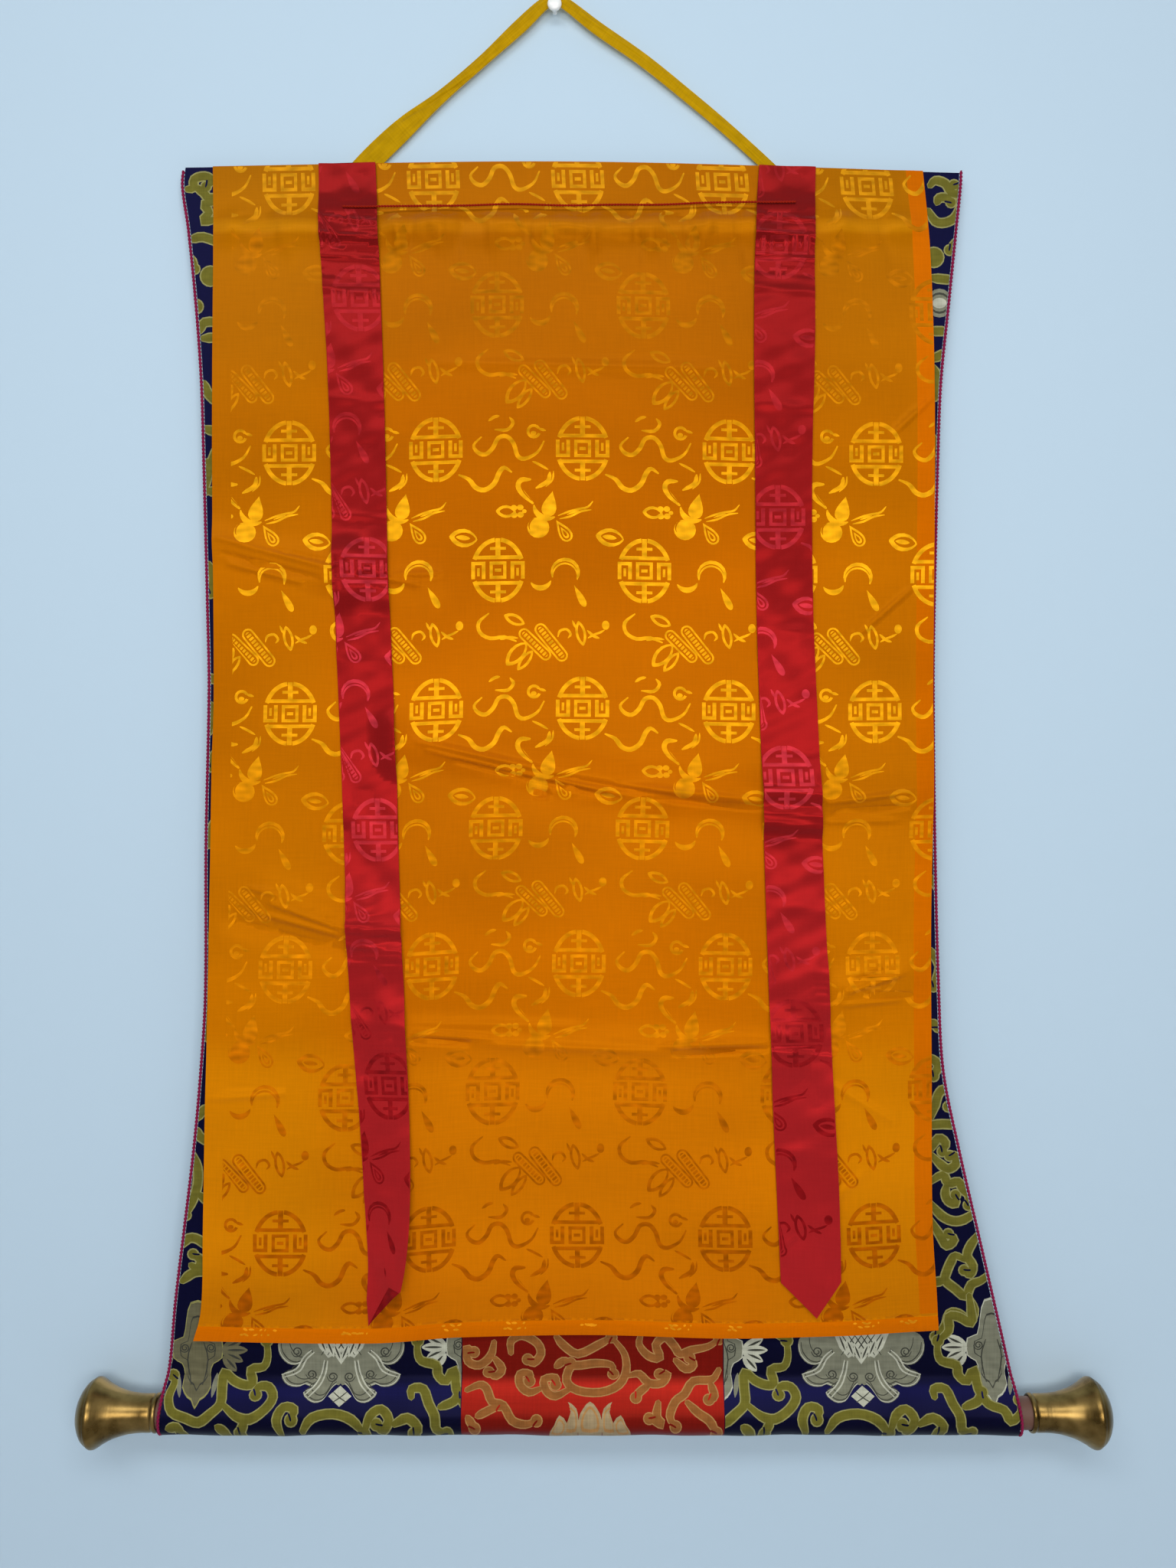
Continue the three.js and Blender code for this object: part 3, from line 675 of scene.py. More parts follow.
def leaf(x, y, long, wide, turn, sides=16):
    t = 2 * math.pi * np.arange(sides) / sides
    return turned(long * np.cos(t), wide * np.sin(t) * np.abs(np.sin(t)) ** 0.5, x, y, turn)


def crescent(x, y, radius, thick, start, end, sides=12):
    angle = np.radians(np.linspace(start, end, sides))
    half = 0.5 * thick * np.sin(np.linspace(0.12, math.pi - 0.12, sides)) ** 0.8
    way = np.stack([np.cos(angle), np.sin(angle)], axis=1)
    middle = np.array([x, y])
    outer, inner = (middle + way * reach[:, None] for reach in (radius + half, radius - half))
    return np.concatenate([outer, inner[::-1]])


# width, then the line's points
damaskLines = [
    (3, [(31.3, -8), (26, -2.5), (28.6, 2.4), (34, 4), (39.2, -0.5), (42.8, -7.2), (48.8, -8.2), (53.5, -3),
         (56, 5), (61, 7.2), (69.6, 2.8), (74.2, -5)]), (2.2, [(36.2, -19), (40, -21.6), (43.6, -22.4)]),
    (2.4, [(50.6, -21.4), (53, -17.6), (49, -12.8), (40.5, -13)]), (2, [(70.5, -13.6), (75.4, -12.2)]),
    (3.4, [(15.6, 17.8), (22.6, 21), (27.2, 26.6), (33.4, 28.4), (40, 24), (43.4, 16.6), (47, 13.2),
           (52, 16.4)]), (1.8, [(66.3, 9), (71.4, 11.4), (77, 14.6)]),
    (1.3, [(80.7, 15.6), (80, 21.6), (75.4, 26.4)]), (3, [(78.2, 16.4), (76.8, 22.6), (68.6, 27.4)]),
    (4, [(65, 21.4), (58.6, 22), (56.6, 26), (59.4, 31), (66.6, 38)]),
    (1.5, [(83.8, 46.4), (91, 43.6), (97.6, 41.8), (104, 40.4), (107.6, 36.4)]),
    (1.5, [(84.8, 48.6), (92.4, 46.8), (99.4, 43.4), (106.6, 42.2)]), (1.2, [(90, 45.6), (98, 42.8)]),
    (2.6, [(36, 113.4), (29, 119.6), (30, 126.6), (37, 130.6), (46.6, 129.8), (55, 132.8)]),
    (1.8, [(44, 131.6), (50, 130), (56, 130.6)]),
    (1.8, [(83.6, 129.8), (85, 125.8), (89.6, 124.6), (92.4, 128), (90.6, 130.6)]),
    (1.6, [(93.6, 118.6), (96, 124)]), (2, [(3.2, 125.4), (7.4, 129), (11.4, 130.6)]),
    (1.6, [(3.6, 130.6), (7.4, 128.4), (11.6, 126.8), (15, 125)]),
]
damaskShapes = [
    (teardrop(78.2, 38.2, 8.8, 5.7, -78), 1), (crescent(77, 38.6, 9.8, 4.2, 62, 178), 1),
    (ellipse(70.2, 54.6, 7.6, 7.2), 1), (crescent(69.4, 53.6, 5.6, 1, 150, 250), 0),
    (teardrop(87.2, 56.6, 8.6, 4.9, -124), 1), (teardrop(87.6, 57.4, 6.4, 3.4, -124), 0),
    (teardrop(88, 58, 4.6, 2.2, -124), 1), (teardrop(88.2, 58.4, 2.6, 1, -124), 0),
    (leaf(48, 43.4, 7, 4.4, 3), 1), (leaf(48.4, 43.4, 4.8, 2.4, 3), 0), (ellipse(53.4, 40.9, 2.3, 2), 1),
    (ellipse(57.8, 40.7, 2.3, 2), 1), (ellipse(53.6, 45.9, 2.3, 2), 1), (ellipse(58, 45.7, 2.3, 2), 1),
    (ellipse(60.6, 43.3, 1.6, 1.4), 1), (ellipse(55.8, 43.3, 1.1, 1.1), 0),
    (leaf(18.6, 61.2, 9.8, 6.4, 8), 1), (leaf(19.8, 61.2, 7.4, 3.8, 8), 0), (leaf(18.4, 61, 5, 1.7, 8), 1),
    (crescent(88.6, 86.6, 9, 4.6, 165, 385), 1), (crescent(88.4, 87, 8.8, 0.8, 195, 340), 0),
    (crescent(71.6, 88.6, 7.6, 3.8, 20, 150), 1), (teardrop(98.6, 101.6, 8.4, 2.7, -118), 1),
    (leaf(53.6, 117.8, 7.8, 3.8, 24), 1), (leaf(54, 118, 5.2, 1.8, 24), 0),
    (leaf(55, 141.6, 10.4, 5.4, -48), 1), (leaf(55.6, 141, 8, 3.2, -48), 0),
    (leaf(61, 146, 8.6, 3.4, -52), 1), (leaf(61.2, 145.8, 6, 1.5, -52), 0),
    (leaf(99.4, 127.4, 8.8, 3.6, 78), 1), (leaf(99.4, 127.4, 6.2, 1.8, 78), 0),
    (ellipse(15.8, 121.6, 2.6, 3.2), 1),
]
# the pair of clappers: each end of the middle line, width
damaskRods = [((57.6, 125), (78, 145), 8), ((69, 121.4), (89, 146), 8.6)]


def ring(x, y, radius, width):
    angle = np.radians(np.linspace(20, 330, 14))
    outer = np.stack([x + radius * np.cos(angle), y + radius * np.sin(angle)], axis=1)
    inner = np.stack([x + (radius - width) * np.cos(angle), y + (radius - width) * np.sin(angle)], axis=1)
    return np.concatenate([outer, inner[::-1]])


def clapper(start, end, wide):
    start, end = np.array(start), np.array(end)
    middle = (start + end) / 2
    reach = np.linalg.norm(end - start) / 2
    turn = math.degrees(math.atan2(*(end - start)[::-1]))
    t = np.linspace(-math.pi / 2, math.pi / 2, 8)
    parts = []
    for inset, look in ((0, 1), (1.3, 0), (2.5, 1)):
        half = wide / 2 - inset
        along = np.r_[reach - wide / 2 + half * np.cos(t), -(reach - wide / 2) - half * np.cos(t)]
        across = np.r_[half * np.sin(t), -half * np.sin(t)]
        parts.append((turned(along, across, *middle, turn), look))
    for at in np.arange(-reach + 4, reach - 3, 2.6):
        along, across = np.array([-0.45, 0.45, 0.45, -0.45]) + at, np.array([-1.8, -1.8, 1.8, 1.8])
        parts.append((turned(along, across, *middle, turn), 0))
    return parts


def damaskCell():
    parts = [(shape, 1) for shape in medallion()]
    parts += [(shape * (-1, -1) + (42.4, 83.7), 1) for shape in medallion()]
    parts += [(stroke(points, width, taper=(0.35, 0.35)), 1) for width, points in damaskLines]
    parts.append((ring(67.2, -11.7, 5, 2), 1))
    parts.append((ellipse(67, -10.4, 2, 1.6), 1))
    parts.append((stroke([(64.4, 23), (59.6, 23.6), (58.6, 26.4), (61, 31), (65.6, 36)], 0.8), 0))
    parts += damaskShapes
    for rod in damaskRods:
        parts += clapper(*rod)
    return parts


def damaskFigures(left, right, top, bottom):
    cell = damaskCell()
    found = []
    rows = damask["rows"]
    for row, after in zip(rows, rows[1:]):
        tall = (after - row) / damask["tall"]
        for column in range(-1, 6):
            shift = np.array([damask["firstX"] + column * damask["wide"], row])
            for shape, look in cell:
                points = shape * (1, tall) + shift
                low, high = points.min(axis=0), points.max(axis=0)
                if high[0] < left or low[0] > right or high[1] < top or low[1] > bottom:
                    continue
                found.append((points, look))
    return found


def clipped(figures, left, right, top, bottom):
    kept = []
    for points, look in figures:
        inside = np.clip(points, (left, top), (right, bottom))
        if np.ptp(inside[:, 0]) > 0.2 and np.ptp(inside[:, 1]) > 0.2:
            kept.append((inside, look))
    return kept


def sheetGrid(low, high, pitch):
    steps = max(2, round((high - low) / pitch))
    return np.linspace(low, high, steps + 1)[1:-1]


def veilPlace(flat, offset):
    a, b = flat[:, 0], flat[:, 1]
    v = (b - veilCloth["top"]) / (veilCloth["bottom"] - veilCloth["top"])
    level = mix(topOf(0), hemOf(0), v)
    u = (a - veilCloth["left"]) / (veilCloth["right"] - veilCloth["left"])
    x = mix(readTable(veilEdge, 1, level), readTable(veilEdge, 2, level), u)
    drop = mix(topOf(x), hemOf(x), v)
    below = b - veilCloth["hemTop"]
    rolled = np.sin(math.pi * np.clip(below / veilCloth["hemTall"], 0, 1))
    hem = veilCloth["hemRoll"] * np.clip(rolled, 0, 1) ** 0.7
    hem = hem + 0.3 * smoothStep(a, 244, 250) - 0.3 * bump(below, 0.9)
    return np.stack([x, -(veilDepth(x, drop) + hem + offset), -drop], axis=1)


# painted sheen: the veil lighter and yellower towards its sides
sidesPaintedSheen = {"middle": 12, "from": 110, "full": 200, "tint": (0.99, 1.15, 1.0, 1.0)}
# satin's slow noise paints sheen bands as well as uneven dye
satin = {"bump": 0.05, "fine": 0.1, "slow": 0.5}
thread = {"bump": 0.3, "fine": 0.25, "lustre": 0.5}
twill = {"rough": 0.4, "fine": 0.2, "bump": 0.08}
silkLooks = {
    # painted light: a highlight band just below the cord, and a ground that grows lighter lower down
    "veilGround": {
        "colour": (198, 105, 0), "rough": 0.38, "aniso": 0.5, "specular": 0.38, "shine": (255, 160, 24),
        **satin, "paintedSheen": sidesPaintedSheen,
        "paintedLightTones": [(108, (160, 88, 0)), (145, (164, 90, 0)), (150, (182, 106, 4)), (153, (182, 106, 4)),
                  (158, (162, 87, 0)), (210, (164, 86, 0)), (300, (176, 90, 0)), (400, (182, 92, 0)),
                  (500, (180, 91, 0)), (600, (184, 95, 0)), (700, (190, 99, 0)), (740, (202, 111, 2)),
                  (840, (200, 110, 2)), (900, (192, 103, 2))]},
    # painted light: the figure's satin sheen, bright at the top band and between drops 300 and 490, shaded
    # darker lower down
    "veilFigure": {
        "colour": (240, 165, 12), "rough": 0.4, "aniso": 0.6, "specular": 0.5, "lustre": 0.9, **satin,
        "paintedLightTones": [(108, (198, 132, 14)), (138, (196, 128, 12)), (158, (165, 92, 2)), (230, (168, 93, 2)),
                  (260, (188, 110, 4)), (300, (212, 138, 10)), (350, (238, 164, 18)), (490, (228, 152, 14)),
                  (560, (202, 120, 5)), (690, (204, 118, 4)), (735, (188, 98, 2)), (800, (172, 86, 1)),
                  (900, (164, 78, 0))]},
    "veilHem": {"colour": (196, 98, 0), "rough": 0.45, **satin},
    # painted glints on the hem
    "veilPaintedGlint": {"colour": (214, 132, 18), "rough": 0.4, "lustre": 0.8, **satin},
    # painted light: the ribbon ground grows lighter lower down
    "ribbonGround": {
        "colour": (140, 22, 22), "rough": 0.33, "aniso": 0.4, "specular": 0.8, **satin,
        "paintedLightTones": [(108, (108, 17, 17)), (200, (112, 17, 17)), (300, (120, 18, 19)), (540, (126, 19, 20)),
                  (620, (138, 24, 26)), (760, (154, 29, 32)), (900, (158, 30, 33))]},
    # painted light: the ribbon figure's sheen, brightest near drop 450 and shaded darker above and below
    "ribbonFigure": {
        "colour": (164, 33, 38), "rough": 0.33, "aniso": 0.5, "specular": 0.8, "lustre": 1.0, **satin,
        "paintedLightTones": [(108, (126, 22, 24)), (200, (134, 24, 27)), (300, (150, 29, 33)), (450, (178, 44, 56)),
                  (600, (168, 39, 46)), (700, (134, 20, 23)), (770, (124, 14, 17)), (900, (122, 13, 16))]},
    # painted light: a highlight on the casing's upper slope, with painted shade just above it and under the
    # rod
    "navyGround": {
        "colour": (8, 8, 32), "specular": 0.1, "shine": (40, 40, 70), **twill,
        "paintedLightTones": [(108, (9, 9, 42)), (900, (8, 8, 34)), (946, (5, 5, 24)), (953, (14, 14, 58)),
                  (962, (11, 11, 44)), (970, (6, 6, 28)), (990, (5, 5, 22))]},
    "olive": {"colour": (94, 89, 34), "rough": 0.55, **thread},
    "olivePale": {"colour": (132, 128, 78), "rough": 0.5, **thread},
    "silver": {"colour": (110, 110, 93), "rough": 0.5, **thread},
    "silverDark": {"colour": (46, 46, 40), "rough": 0.55, **thread},
    "silverWhite": {"colour": (170, 170, 152), "rough": 0.45, **thread},
    "silverDull": {"colour": (90, 86, 64), "rough": 0.6, **thread},
    # painted light: a highlight on the casing's upper slope, with painted shade just above it and under the
    # rod
    "redGround": {
        "colour": (120, 19, 11), "specular": 0.15, "shine": (150, 60, 50), **twill,
        "paintedLightTones": [(900, (112, 19, 11)), (944, (106, 17, 10)), (951, (176, 36, 25)), (962, (152, 28, 18)),
                  (972, (108, 18, 11)), (990, (96, 14, 8))]},
    "tan": {"colour": (134, 84, 42), "rough": 0.55, **thread},
    "tanPale": {"colour": (160, 118, 70), "rough": 0.5, **thread},
    "cream": {"colour": (150, 130, 97), "rough": 0.5, **thread},
    "canvas": {"colour": (186, 166, 128), "rough": 0.85, "bump": 0.6},
    "tape": {"colour": (172, 132, 6), "rough": 0.5, "bump": 0.2, "fine": 0.25, "lustre": 0.3},
}
silks = {name: cloth(name, **look) for name, look in silkLooks.items()}
print("materials made")

# veil
veilLeft, veilRight, veilTop, veilBottom = (veilCloth[k] for k in ("left", "right", "top", "bottom"))
veilOutline = finer(bar(veilLeft, veilTop, veilRight, veilBottom), 6)
creasePoints = []
for row in fineCreases:
    start, end = np.array(row[:2], float), np.array(row[2:4], float)
    along = (end - start) / np.linalg.norm(end - start)
    side = np.array([-along[1], along[0]])
    for t in np.arange(0, np.linalg.norm(end - start), 3.5):
        creasePoints += [start + along * t + side * w for w in (-5, -3.2, -1.8, -0.6, 0.6, 1.8, 3.2, 5)]
creasePoints = np.array(creasePoints)
creasePoints = creasePoints[insideOutline(creasePoints, veilOutline)]
creasePoints = creasePoints[awayFromOutline(creasePoints, veilOutline, 1.2)]
veilRows = np.r_[np.arange(111, 170, 3), np.arange(170, 898, 5), np.arange(899, 915.5, 1.6)]
veilInner = gridInside(veilOutline, sheetGrid(veilLeft, veilRight, 5), veilRows, 1.2)
veilBack = gridInside(veilOutline, sheetGrid(veilLeft, veilRight, 10), sheetGrid(veilTop, veilBottom, 10),
                      2.5)
rightEdge = veilOutline[(veilOutline[:, 0] > veilRight - 0.1) & (veilOutline[:, 1] < veilCloth["hemTop"])]
veilFigures = [(np.concatenate([rightEdge, (rightEdge - (veilCloth["sideHem"], 0))[::-1]]), 2)]
inset = 0.4
veilFigures += clipped(damaskFigures(veilCloth["plainLeft"] + 1, veilRight, veilTop, veilBottom),
                       veilCloth["plainLeft"], veilRight - inset, veilTop + inset, veilBottom - inset)
veilFigures.append((finer(bar(veilLeft, veilCloth["hemTop"] + 0.2, veilRight, veilBottom), 6), 2))
# painted glints: short bright dashes along the hem's roll, where light would catch it
hemPaintedGlints = [
    (-206, 24), (-138, 20), (-70, 12), (-30, 18), (22, 14), (78, 20), (120, 10), (205, 18), (236, 12),
]
for start, reach in hemPaintedGlints:
    for k in range(int(reach / 2.4)):
        at = start + 2.4 * k + math.sin(5 * k + start)
        drop, long = 909 + 1.8 * math.sin(3.1 * k + start), 1.3 + 0.8 * math.sin(7 * k)
        veilFigures.append((ellipse(at, drop, long, 0.7, 25 * math.sin(k)), 3))
veilLooks = [silks[k] for k in ("veilGround", "veilFigure", "veilHem", "veilPaintedGlint")]
veil = makeSheet("veil", veilOutline, np.concatenate([veilInner, creasePoints]), veilBack, veilFigures,
                 veilPlace, veilCloth["thick"], veilLooks)
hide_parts("veil")
print("veil", len(veil.data.polygons), "faces")

# brocade: the foot's figure in mm, x from the lotus's middle, y as the drop that the photograph shows
navyChart = {"leftAxis": -147.6, "rightAxis": 211.9, "bandWide": 5.6, "outline": 1.7, "curl": 3.8,
             "curlRim": 4.7}
navyBands = [
    [(-51.5, 921), (-50.8, 932), (-53.7, 939), (-62.2, 941), (-60.8, 951), (-66.5, 952), (-73.6, 949),
     (-80.7, 943), (-81.4, 953.5), (-81.4, 965), (-87.8, 972), (-96, 977.7), (-104.8, 975), (-114.7, 970.6),
     (-117.6, 960.6), (-114.7, 950.7), (-116, 945)],
    [(-80.7, 965), (-70.7, 973.4), (-60.8, 975.5), (-50.8, 969), (-45.9, 960.6), (-49.4, 953.5),
     (-56.5, 953.5), (-57.9, 959)], [(-63.6, 976), (-67.9, 984.8)],
    [(-39.5, 984.8), (-42.3, 976), (-38, 967.7), (-31, 969), (-32.4, 976)],
    [(-25.3, 984), (-18.2, 974.8), (-4, 972), (8.8, 976), (17.3, 984.8)],
    [(17.3, 984.8), (21.6, 973.4), (28.7, 969), (34.4, 976), (30, 983), (25.8, 979)],
    [(37.2, 979), (47.1, 974.8), (54.2, 980.5), (51.4, 984.8)],
    [(52.8, 921), (52.8, 929.4), (55.7, 935), (65.6, 938), (67, 945), (72.7, 949.3), (78, 941), (80, 955),
     (86, 965.3), (95.9, 969.5), (100.1, 976.6), (107.2, 971), (107.2, 962.4)],
    [(49.3, 961.4), (49.3, 955), (57.1, 955), (61.3, 965), (65.6, 973.4), (67, 982), (74, 984.8)],
    [(68.4, 967.7), (78.4, 963.5), (82, 957)],
    [(74.5, 888.6), (76, 900), (76, 908.5), (67.5, 904.2), (60.4, 904.2), (60.4, 914), (52.8, 921)],
    [(-74.5, 888.6), (-76, 900), (-76, 908.5), (-67.5, 904.2), (-60.4, 904.2), (-60.4, 914), (-51.5, 921)],
    [(-83.5, 980), (-78, 984), (-77, 990)], [(-117.6, 982), (-111, 981), (-108, 987)],
]
navyPetals = [
    [(0, 912), (20, 912), (36, 914), (43, 920), (43.4, 928), (41, 933), (37, 936.8), (32, 937.8), (28, 936),
     (25, 932), (20, 942), (0, 944)],
    [(0, 928), (16, 929), (25, 931), (29, 939), (34.5, 942.4), (41, 945), (38.4, 950.6), (33.5, 953.2),
     (28, 953.2), (24.4, 951.6), (19.6, 953.6), (14, 952), (0, 950)],
    [(0, 932), (9, 932), (13, 941), (16, 950), (20, 955), (25.4, 958), (22, 962.4), (17.5, 964.6),
     (12.5, 963.6), (9.6, 960), (6.4, 955), (3, 951.8), (0, 951)],
]
navyVeins = [
    [(9.4, 935), (10.6, 943), (14, 952), (21.6, 960.6)],
    [(11.6, 934.6), (13.2, 943), (17, 951.4), (24.2, 959)],
    [(18.6, 929), (24, 934), (28.6, 942), (39, 946.6)],
    [(20.4, 927.4), (26, 932.6), (31, 940.4), (41, 944.4)],
]
navyHeart = [
    (-19.4, 915), (19.4, 915), (15, 926), (9, 933), (4.6, 931), (0, 937.4), (-4.6, 931), (-9, 933),
    (-15, 926),
]
navyCurls = [(20.4, 944.5), (5.8, 946.2), (30.6, 928.6)]
blossom = [
    (-17, -7), (-10, -10), (-8, -22), (-5, -34), (5, -34), (8, -22), (10, -10), (17, -7), (17, 5), (11, 9),
    (9, 16), (10, 26), (6, 33), (3, 35), (0, 41), (-3, 35), (-6, 33), (-10, 26), (-9, 16), (-11, 9),
    (-17, 5),
]
navyBlossoms = [(-99.1, 928), (90, 926)]
budLeaves = [(22, 9, 7, 48), (24, 4, 8, 26), (24, -5, 8, -26), (25.5, -0.5, 9, 0)]
edgeScrolls = [
    [(-255, 125), (-250, 124), (-249, 118), (-242, 116), (-237, 119), (-241, 123)],
    [(-249, 123), (-243, 127), (-239, 131), (-230, 130)],
    [(-230, 133), (-242, 135), (-239, 141), (-243, 147), (-230, 145)],
    [(-252, 160), (-243, 158), (-230, 163)], [(-252, 171), (-249, 180)],
    [(-246, 224), (-242, 217), (-230, 217)], [(-244, 228), (-230, 227)],
    [(-243, 258), (-239, 267), (-230, 275)], [(-243, 290), (-230, 294)],
    [(-232, 299), (-239, 319), (-242, 333)], [(-241, 313), (-230, 315)], [(-241, 333), (-230, 335)],
    [(-240, 383), (-236, 393), (-238, 404)], [(-242, 462), (-230, 465)],
    [(-238, 480), (-236, 491), (-240, 499)], [(-234, 512), (-238, 524)], [(-234, 558), (-240, 577)],
    [(-241, 640), (-232, 650)], [(-236, 690), (-243, 704), (-236, 716)],
    [(-248, 768), (-242, 761), (-232, 760)], [(-248, 774), (-245, 780), (-234, 786)],
    [(-251, 790), (-247, 801), (-247, 813), (-250, 823), (-255, 834)], [(-247, 819), (-232, 830)],
    [(-259, 856), (-253, 850), (-246, 851), (-238, 858)],
    [(-252, 868), (-247, 871), (-245, 865), (-250, 861)],
    [(-258, 880), (-252, 875), (-246, 873), (-232, 873)],
    [(259, 123), (263, 119), (270, 121), (274, 127), (279, 128), (281, 123), (276, 122)],
    [(264, 135), (266, 131), (271, 131), (274, 134)],
    [(258, 139), (263, 147), (270, 148), (277, 144), (281, 134)], [(281, 158), (273, 167)],
    [(258, 186), (278, 188)], [(258, 223), (273, 223)], [(260, 243), (272, 237)],
    [(261, 247), (265, 257), (262, 268)], [(260, 294), (266, 307)], [(262, 345), (268, 360)],
    [(262, 420), (268, 440)], [(261, 520), (267, 530), (262, 545)], [(260, 600), (268, 612)],
    [(259, 650), (266, 662), (262, 676)], [(259, 700), (265, 704)], [(258, 724), (265, 730), (262, 738)],
    [(260, 767), (263, 758), (265, 751), (269, 747), (275, 752), (272, 759)],
    [(258, 772), (268, 771), (282, 772)], [(260, 789), (265, 781), (270, 784), (268, 790)],
    [(260, 792), (267, 799), (272, 802), (277, 799), (277, 793), (273, 793)],
    [(258, 812), (268, 806), (272, 812), (279, 811), (282, 816), (286, 820), (286, 827)],
    [(271, 813), (270, 819), (272, 824), (277, 826), (277, 820)],
    [(259, 825), (267, 834), (275, 838), (283, 837), (292, 831)],
    [(259, 836), (267, 849), (271, 855), (276, 851), (272, 847)],
    [(294, 846), (288, 854), (285, 862), (289, 869), (287, 875), (283, 872)],
    [(284, 865), (277, 862), (274, 866), (271, 873), (270, 879), (277, 885), (284, 890), (288, 882),
     (295, 879), (302, 873)], [(270, 879), (259, 881)],
    [(286, 890), (290, 899), (287, 907), (279, 902), (273, 902), (270, 910), (263, 918)],
]
edgeRounds = [(-238, 185, 6.6), (-248, 206, 4.6), (262, 172, 6.6)]
edgeBand = {"wide": 5.4, "curl": 6.6, "outline": 1.9}


def spiral(x, y, radius, width, hand=1):
    angle = np.linspace(0, 3.4 * math.pi, 12)
    reach = np.linspace(radius, radius * 0.25, 12)
    line = np.stack([x + hand * reach * np.cos(angle), y + reach * np.sin(angle)], axis=1)
    return stroke(line, width, steps=2)


# the dark eye of the curl that a band ends in
def curlEye(line):
    end, before = np.array(line[-1], float), np.array(line[-2], float)
    way = (end - before) / np.linalg.norm(end - before)
    side = np.array([-way[1], way[0]])
    eye = [end + 0.6 * way, end - 1.6 * way + 1.2 * side, end - 3.4 * way + 2.6 * side]
    return stroke(eye, 1.3, taper=(0.5, 1))


# looks: 1 band, 2 its pale outline, 3 silver, 4 its dark lines, 5 white, 6 dull silver, 0 ground
def navyUnit(dull):
    parts = []
    for x, y in navyBlossoms:
        look, bud = (6, 6) if dull and x < 0 else (3, 5)
        form = smoothLoop(np.array(blossom, float))
        for share, paint in ((1, 5 if bud == 5 else 2), (0.955, look), (0.7, 4), (0.66, look)):
            parts.append((form * share + (x, y), paint))
        for side in (-1, 1):
            for out, down, long, lean in budLeaves:
                parts.append((leaf(x + side * out, y + down, long, 3.4, lean * side), bud))
                parts.append((leaf(x + side * (out + 1), y + down, long * 0.7, 0.8, lean * side), 4))
            parts.append((spiral(x + side * 9, y - 2, 3.4, 0.9, side), 4))
            vein = [(x + side * 4, y - 6), (x + side * 7, y + 6), (x + side * 4, y + 24)]
            parts.append((stroke(vein, 0.9), 4))
            parts.append((leaf(x + side * 12.4, y + 24, 9, 1.7, 90 + 8 * side), 3))
    for line in navyBands:
        parts.append((stroke(line, navyChart["bandWide"] + navyChart["outline"]), 2))
        parts.append((ellipse(*line[-1], navyChart["curlRim"], navyChart["curlRim"], sides=12), 2))
    for line in navyBands:
        parts.append((stroke(line, navyChart["bandWide"]), 1))
        parts.append((ellipse(*line[-1], navyChart["curl"], navyChart["curl"], sides=12), 1))
        parts.append((curlEye(line), 0))
    for petal in navyPetals:
        for side in (-1, 1):
            half = smoothLoop(np.array(petal) * (side, 1))
            parts.append((half, 3))
            rim = np.array([p for p in half if p[1] > petal[0][1] + 8 and abs(p[0]) > 2])
            parts.append((stroke(rim * (0.985, 1) - (0, 0.7), 0.6, steps=1), 5))
            parts.append((stroke(rim * (0.95, 1) - (0, 2), 0.8, steps=1), 4))
            parts.append((stroke(rim * (0.82, 1) - (0, 5.4), 0.7, steps=1), 4))
    parts.append((np.array([(0, 952.6), (8, 960), (0, 967.4), (-8, 960)]), 5))
    parts.append((stroke([(-4.6, 957), (0, 961), (4.6, 964)], 0.8), 4))
    parts.append((stroke([(4.6, 957), (0, 961), (-4.6, 964)], 0.8), 4))
    for side in (-1, 1):
        parts += [(stroke(np.array(line) * (side, 1), 1.1, steps=4), 5) for line in navyVeins]
        parts += [(spiral(x * side, y, 4, 0.9, side), 4) for x, y in navyCurls]
    parts.append((np.array(navyHeart), 5))
    for k in range(-4, 5):
        for lean in (-1, 1):
            line = np.array([(4.4 * k - 5 * lean, 916.5), (4.4 * k + 5 * lean, 931)])
            if np.abs(line).max(axis=0)[0] < 17:
                parts.append((stroke(line, 0.8), 4))
    for side in (-1, 1):
        for x, y, long in ((13, 923, 8), (7.6, 926, 7), (2.6, 929, 7)):
            parts.append((leaf(x * side, y, long, 1.9, 90 + 22 * side), 5))
            parts.append((leaf(x * side, y, long * 0.7, 0.6, 90 + 22 * side), 4))
    return parts


def onRun(parts, axis):
    found = []
    for points, look in parts:
        seen = finer(points)
        found.append((finer(np.stack([seen[:, 0] + axis, runSeen(seen[:, 1])], axis=1), 3), look))
    return found


def navyFigures(axis, left, right):
    found = []
    for extra, look in ((edgeBand["outline"], 2), (0, 1)):
        curl = (edgeBand["curl"] + extra) / 2
        for line in edgeScrolls:
            found.append((stroke(line, edgeBand["wide"] + extra), look))
            found.append((ellipse(*line[-1], curl, curl, sides=12), look))
            found += [(curlEye(line), 0)] if look == 1 else []
        for x, y, radius in edgeRounds:
            found.append((ellipse(x, y, radius + extra / 2, radius + extra / 2), look))
    for k, look in ((0, 3), (1.6, 4), (2.6, 3), (4, 5)):
        found.append((ellipse(266, 203.6, 9 - k, 10 - 1.6 * k), look))
    found += onRun(navyUnit(axis < 0), axis)
    return clipped(found, left, right, 112, 1008)


edgeInset = 2 * piping["radius"] + seamGap


def outerEdge(column, towards):
    runs = np.r_[np.arange(112, 945, 6), np.arange(945, lastRun, 3), lastRun]
    level = sectionAt(runs)[1]
    return np.stack([readTable(mountEdge, column, level) + towards * edgeInset, runs], axis=1)


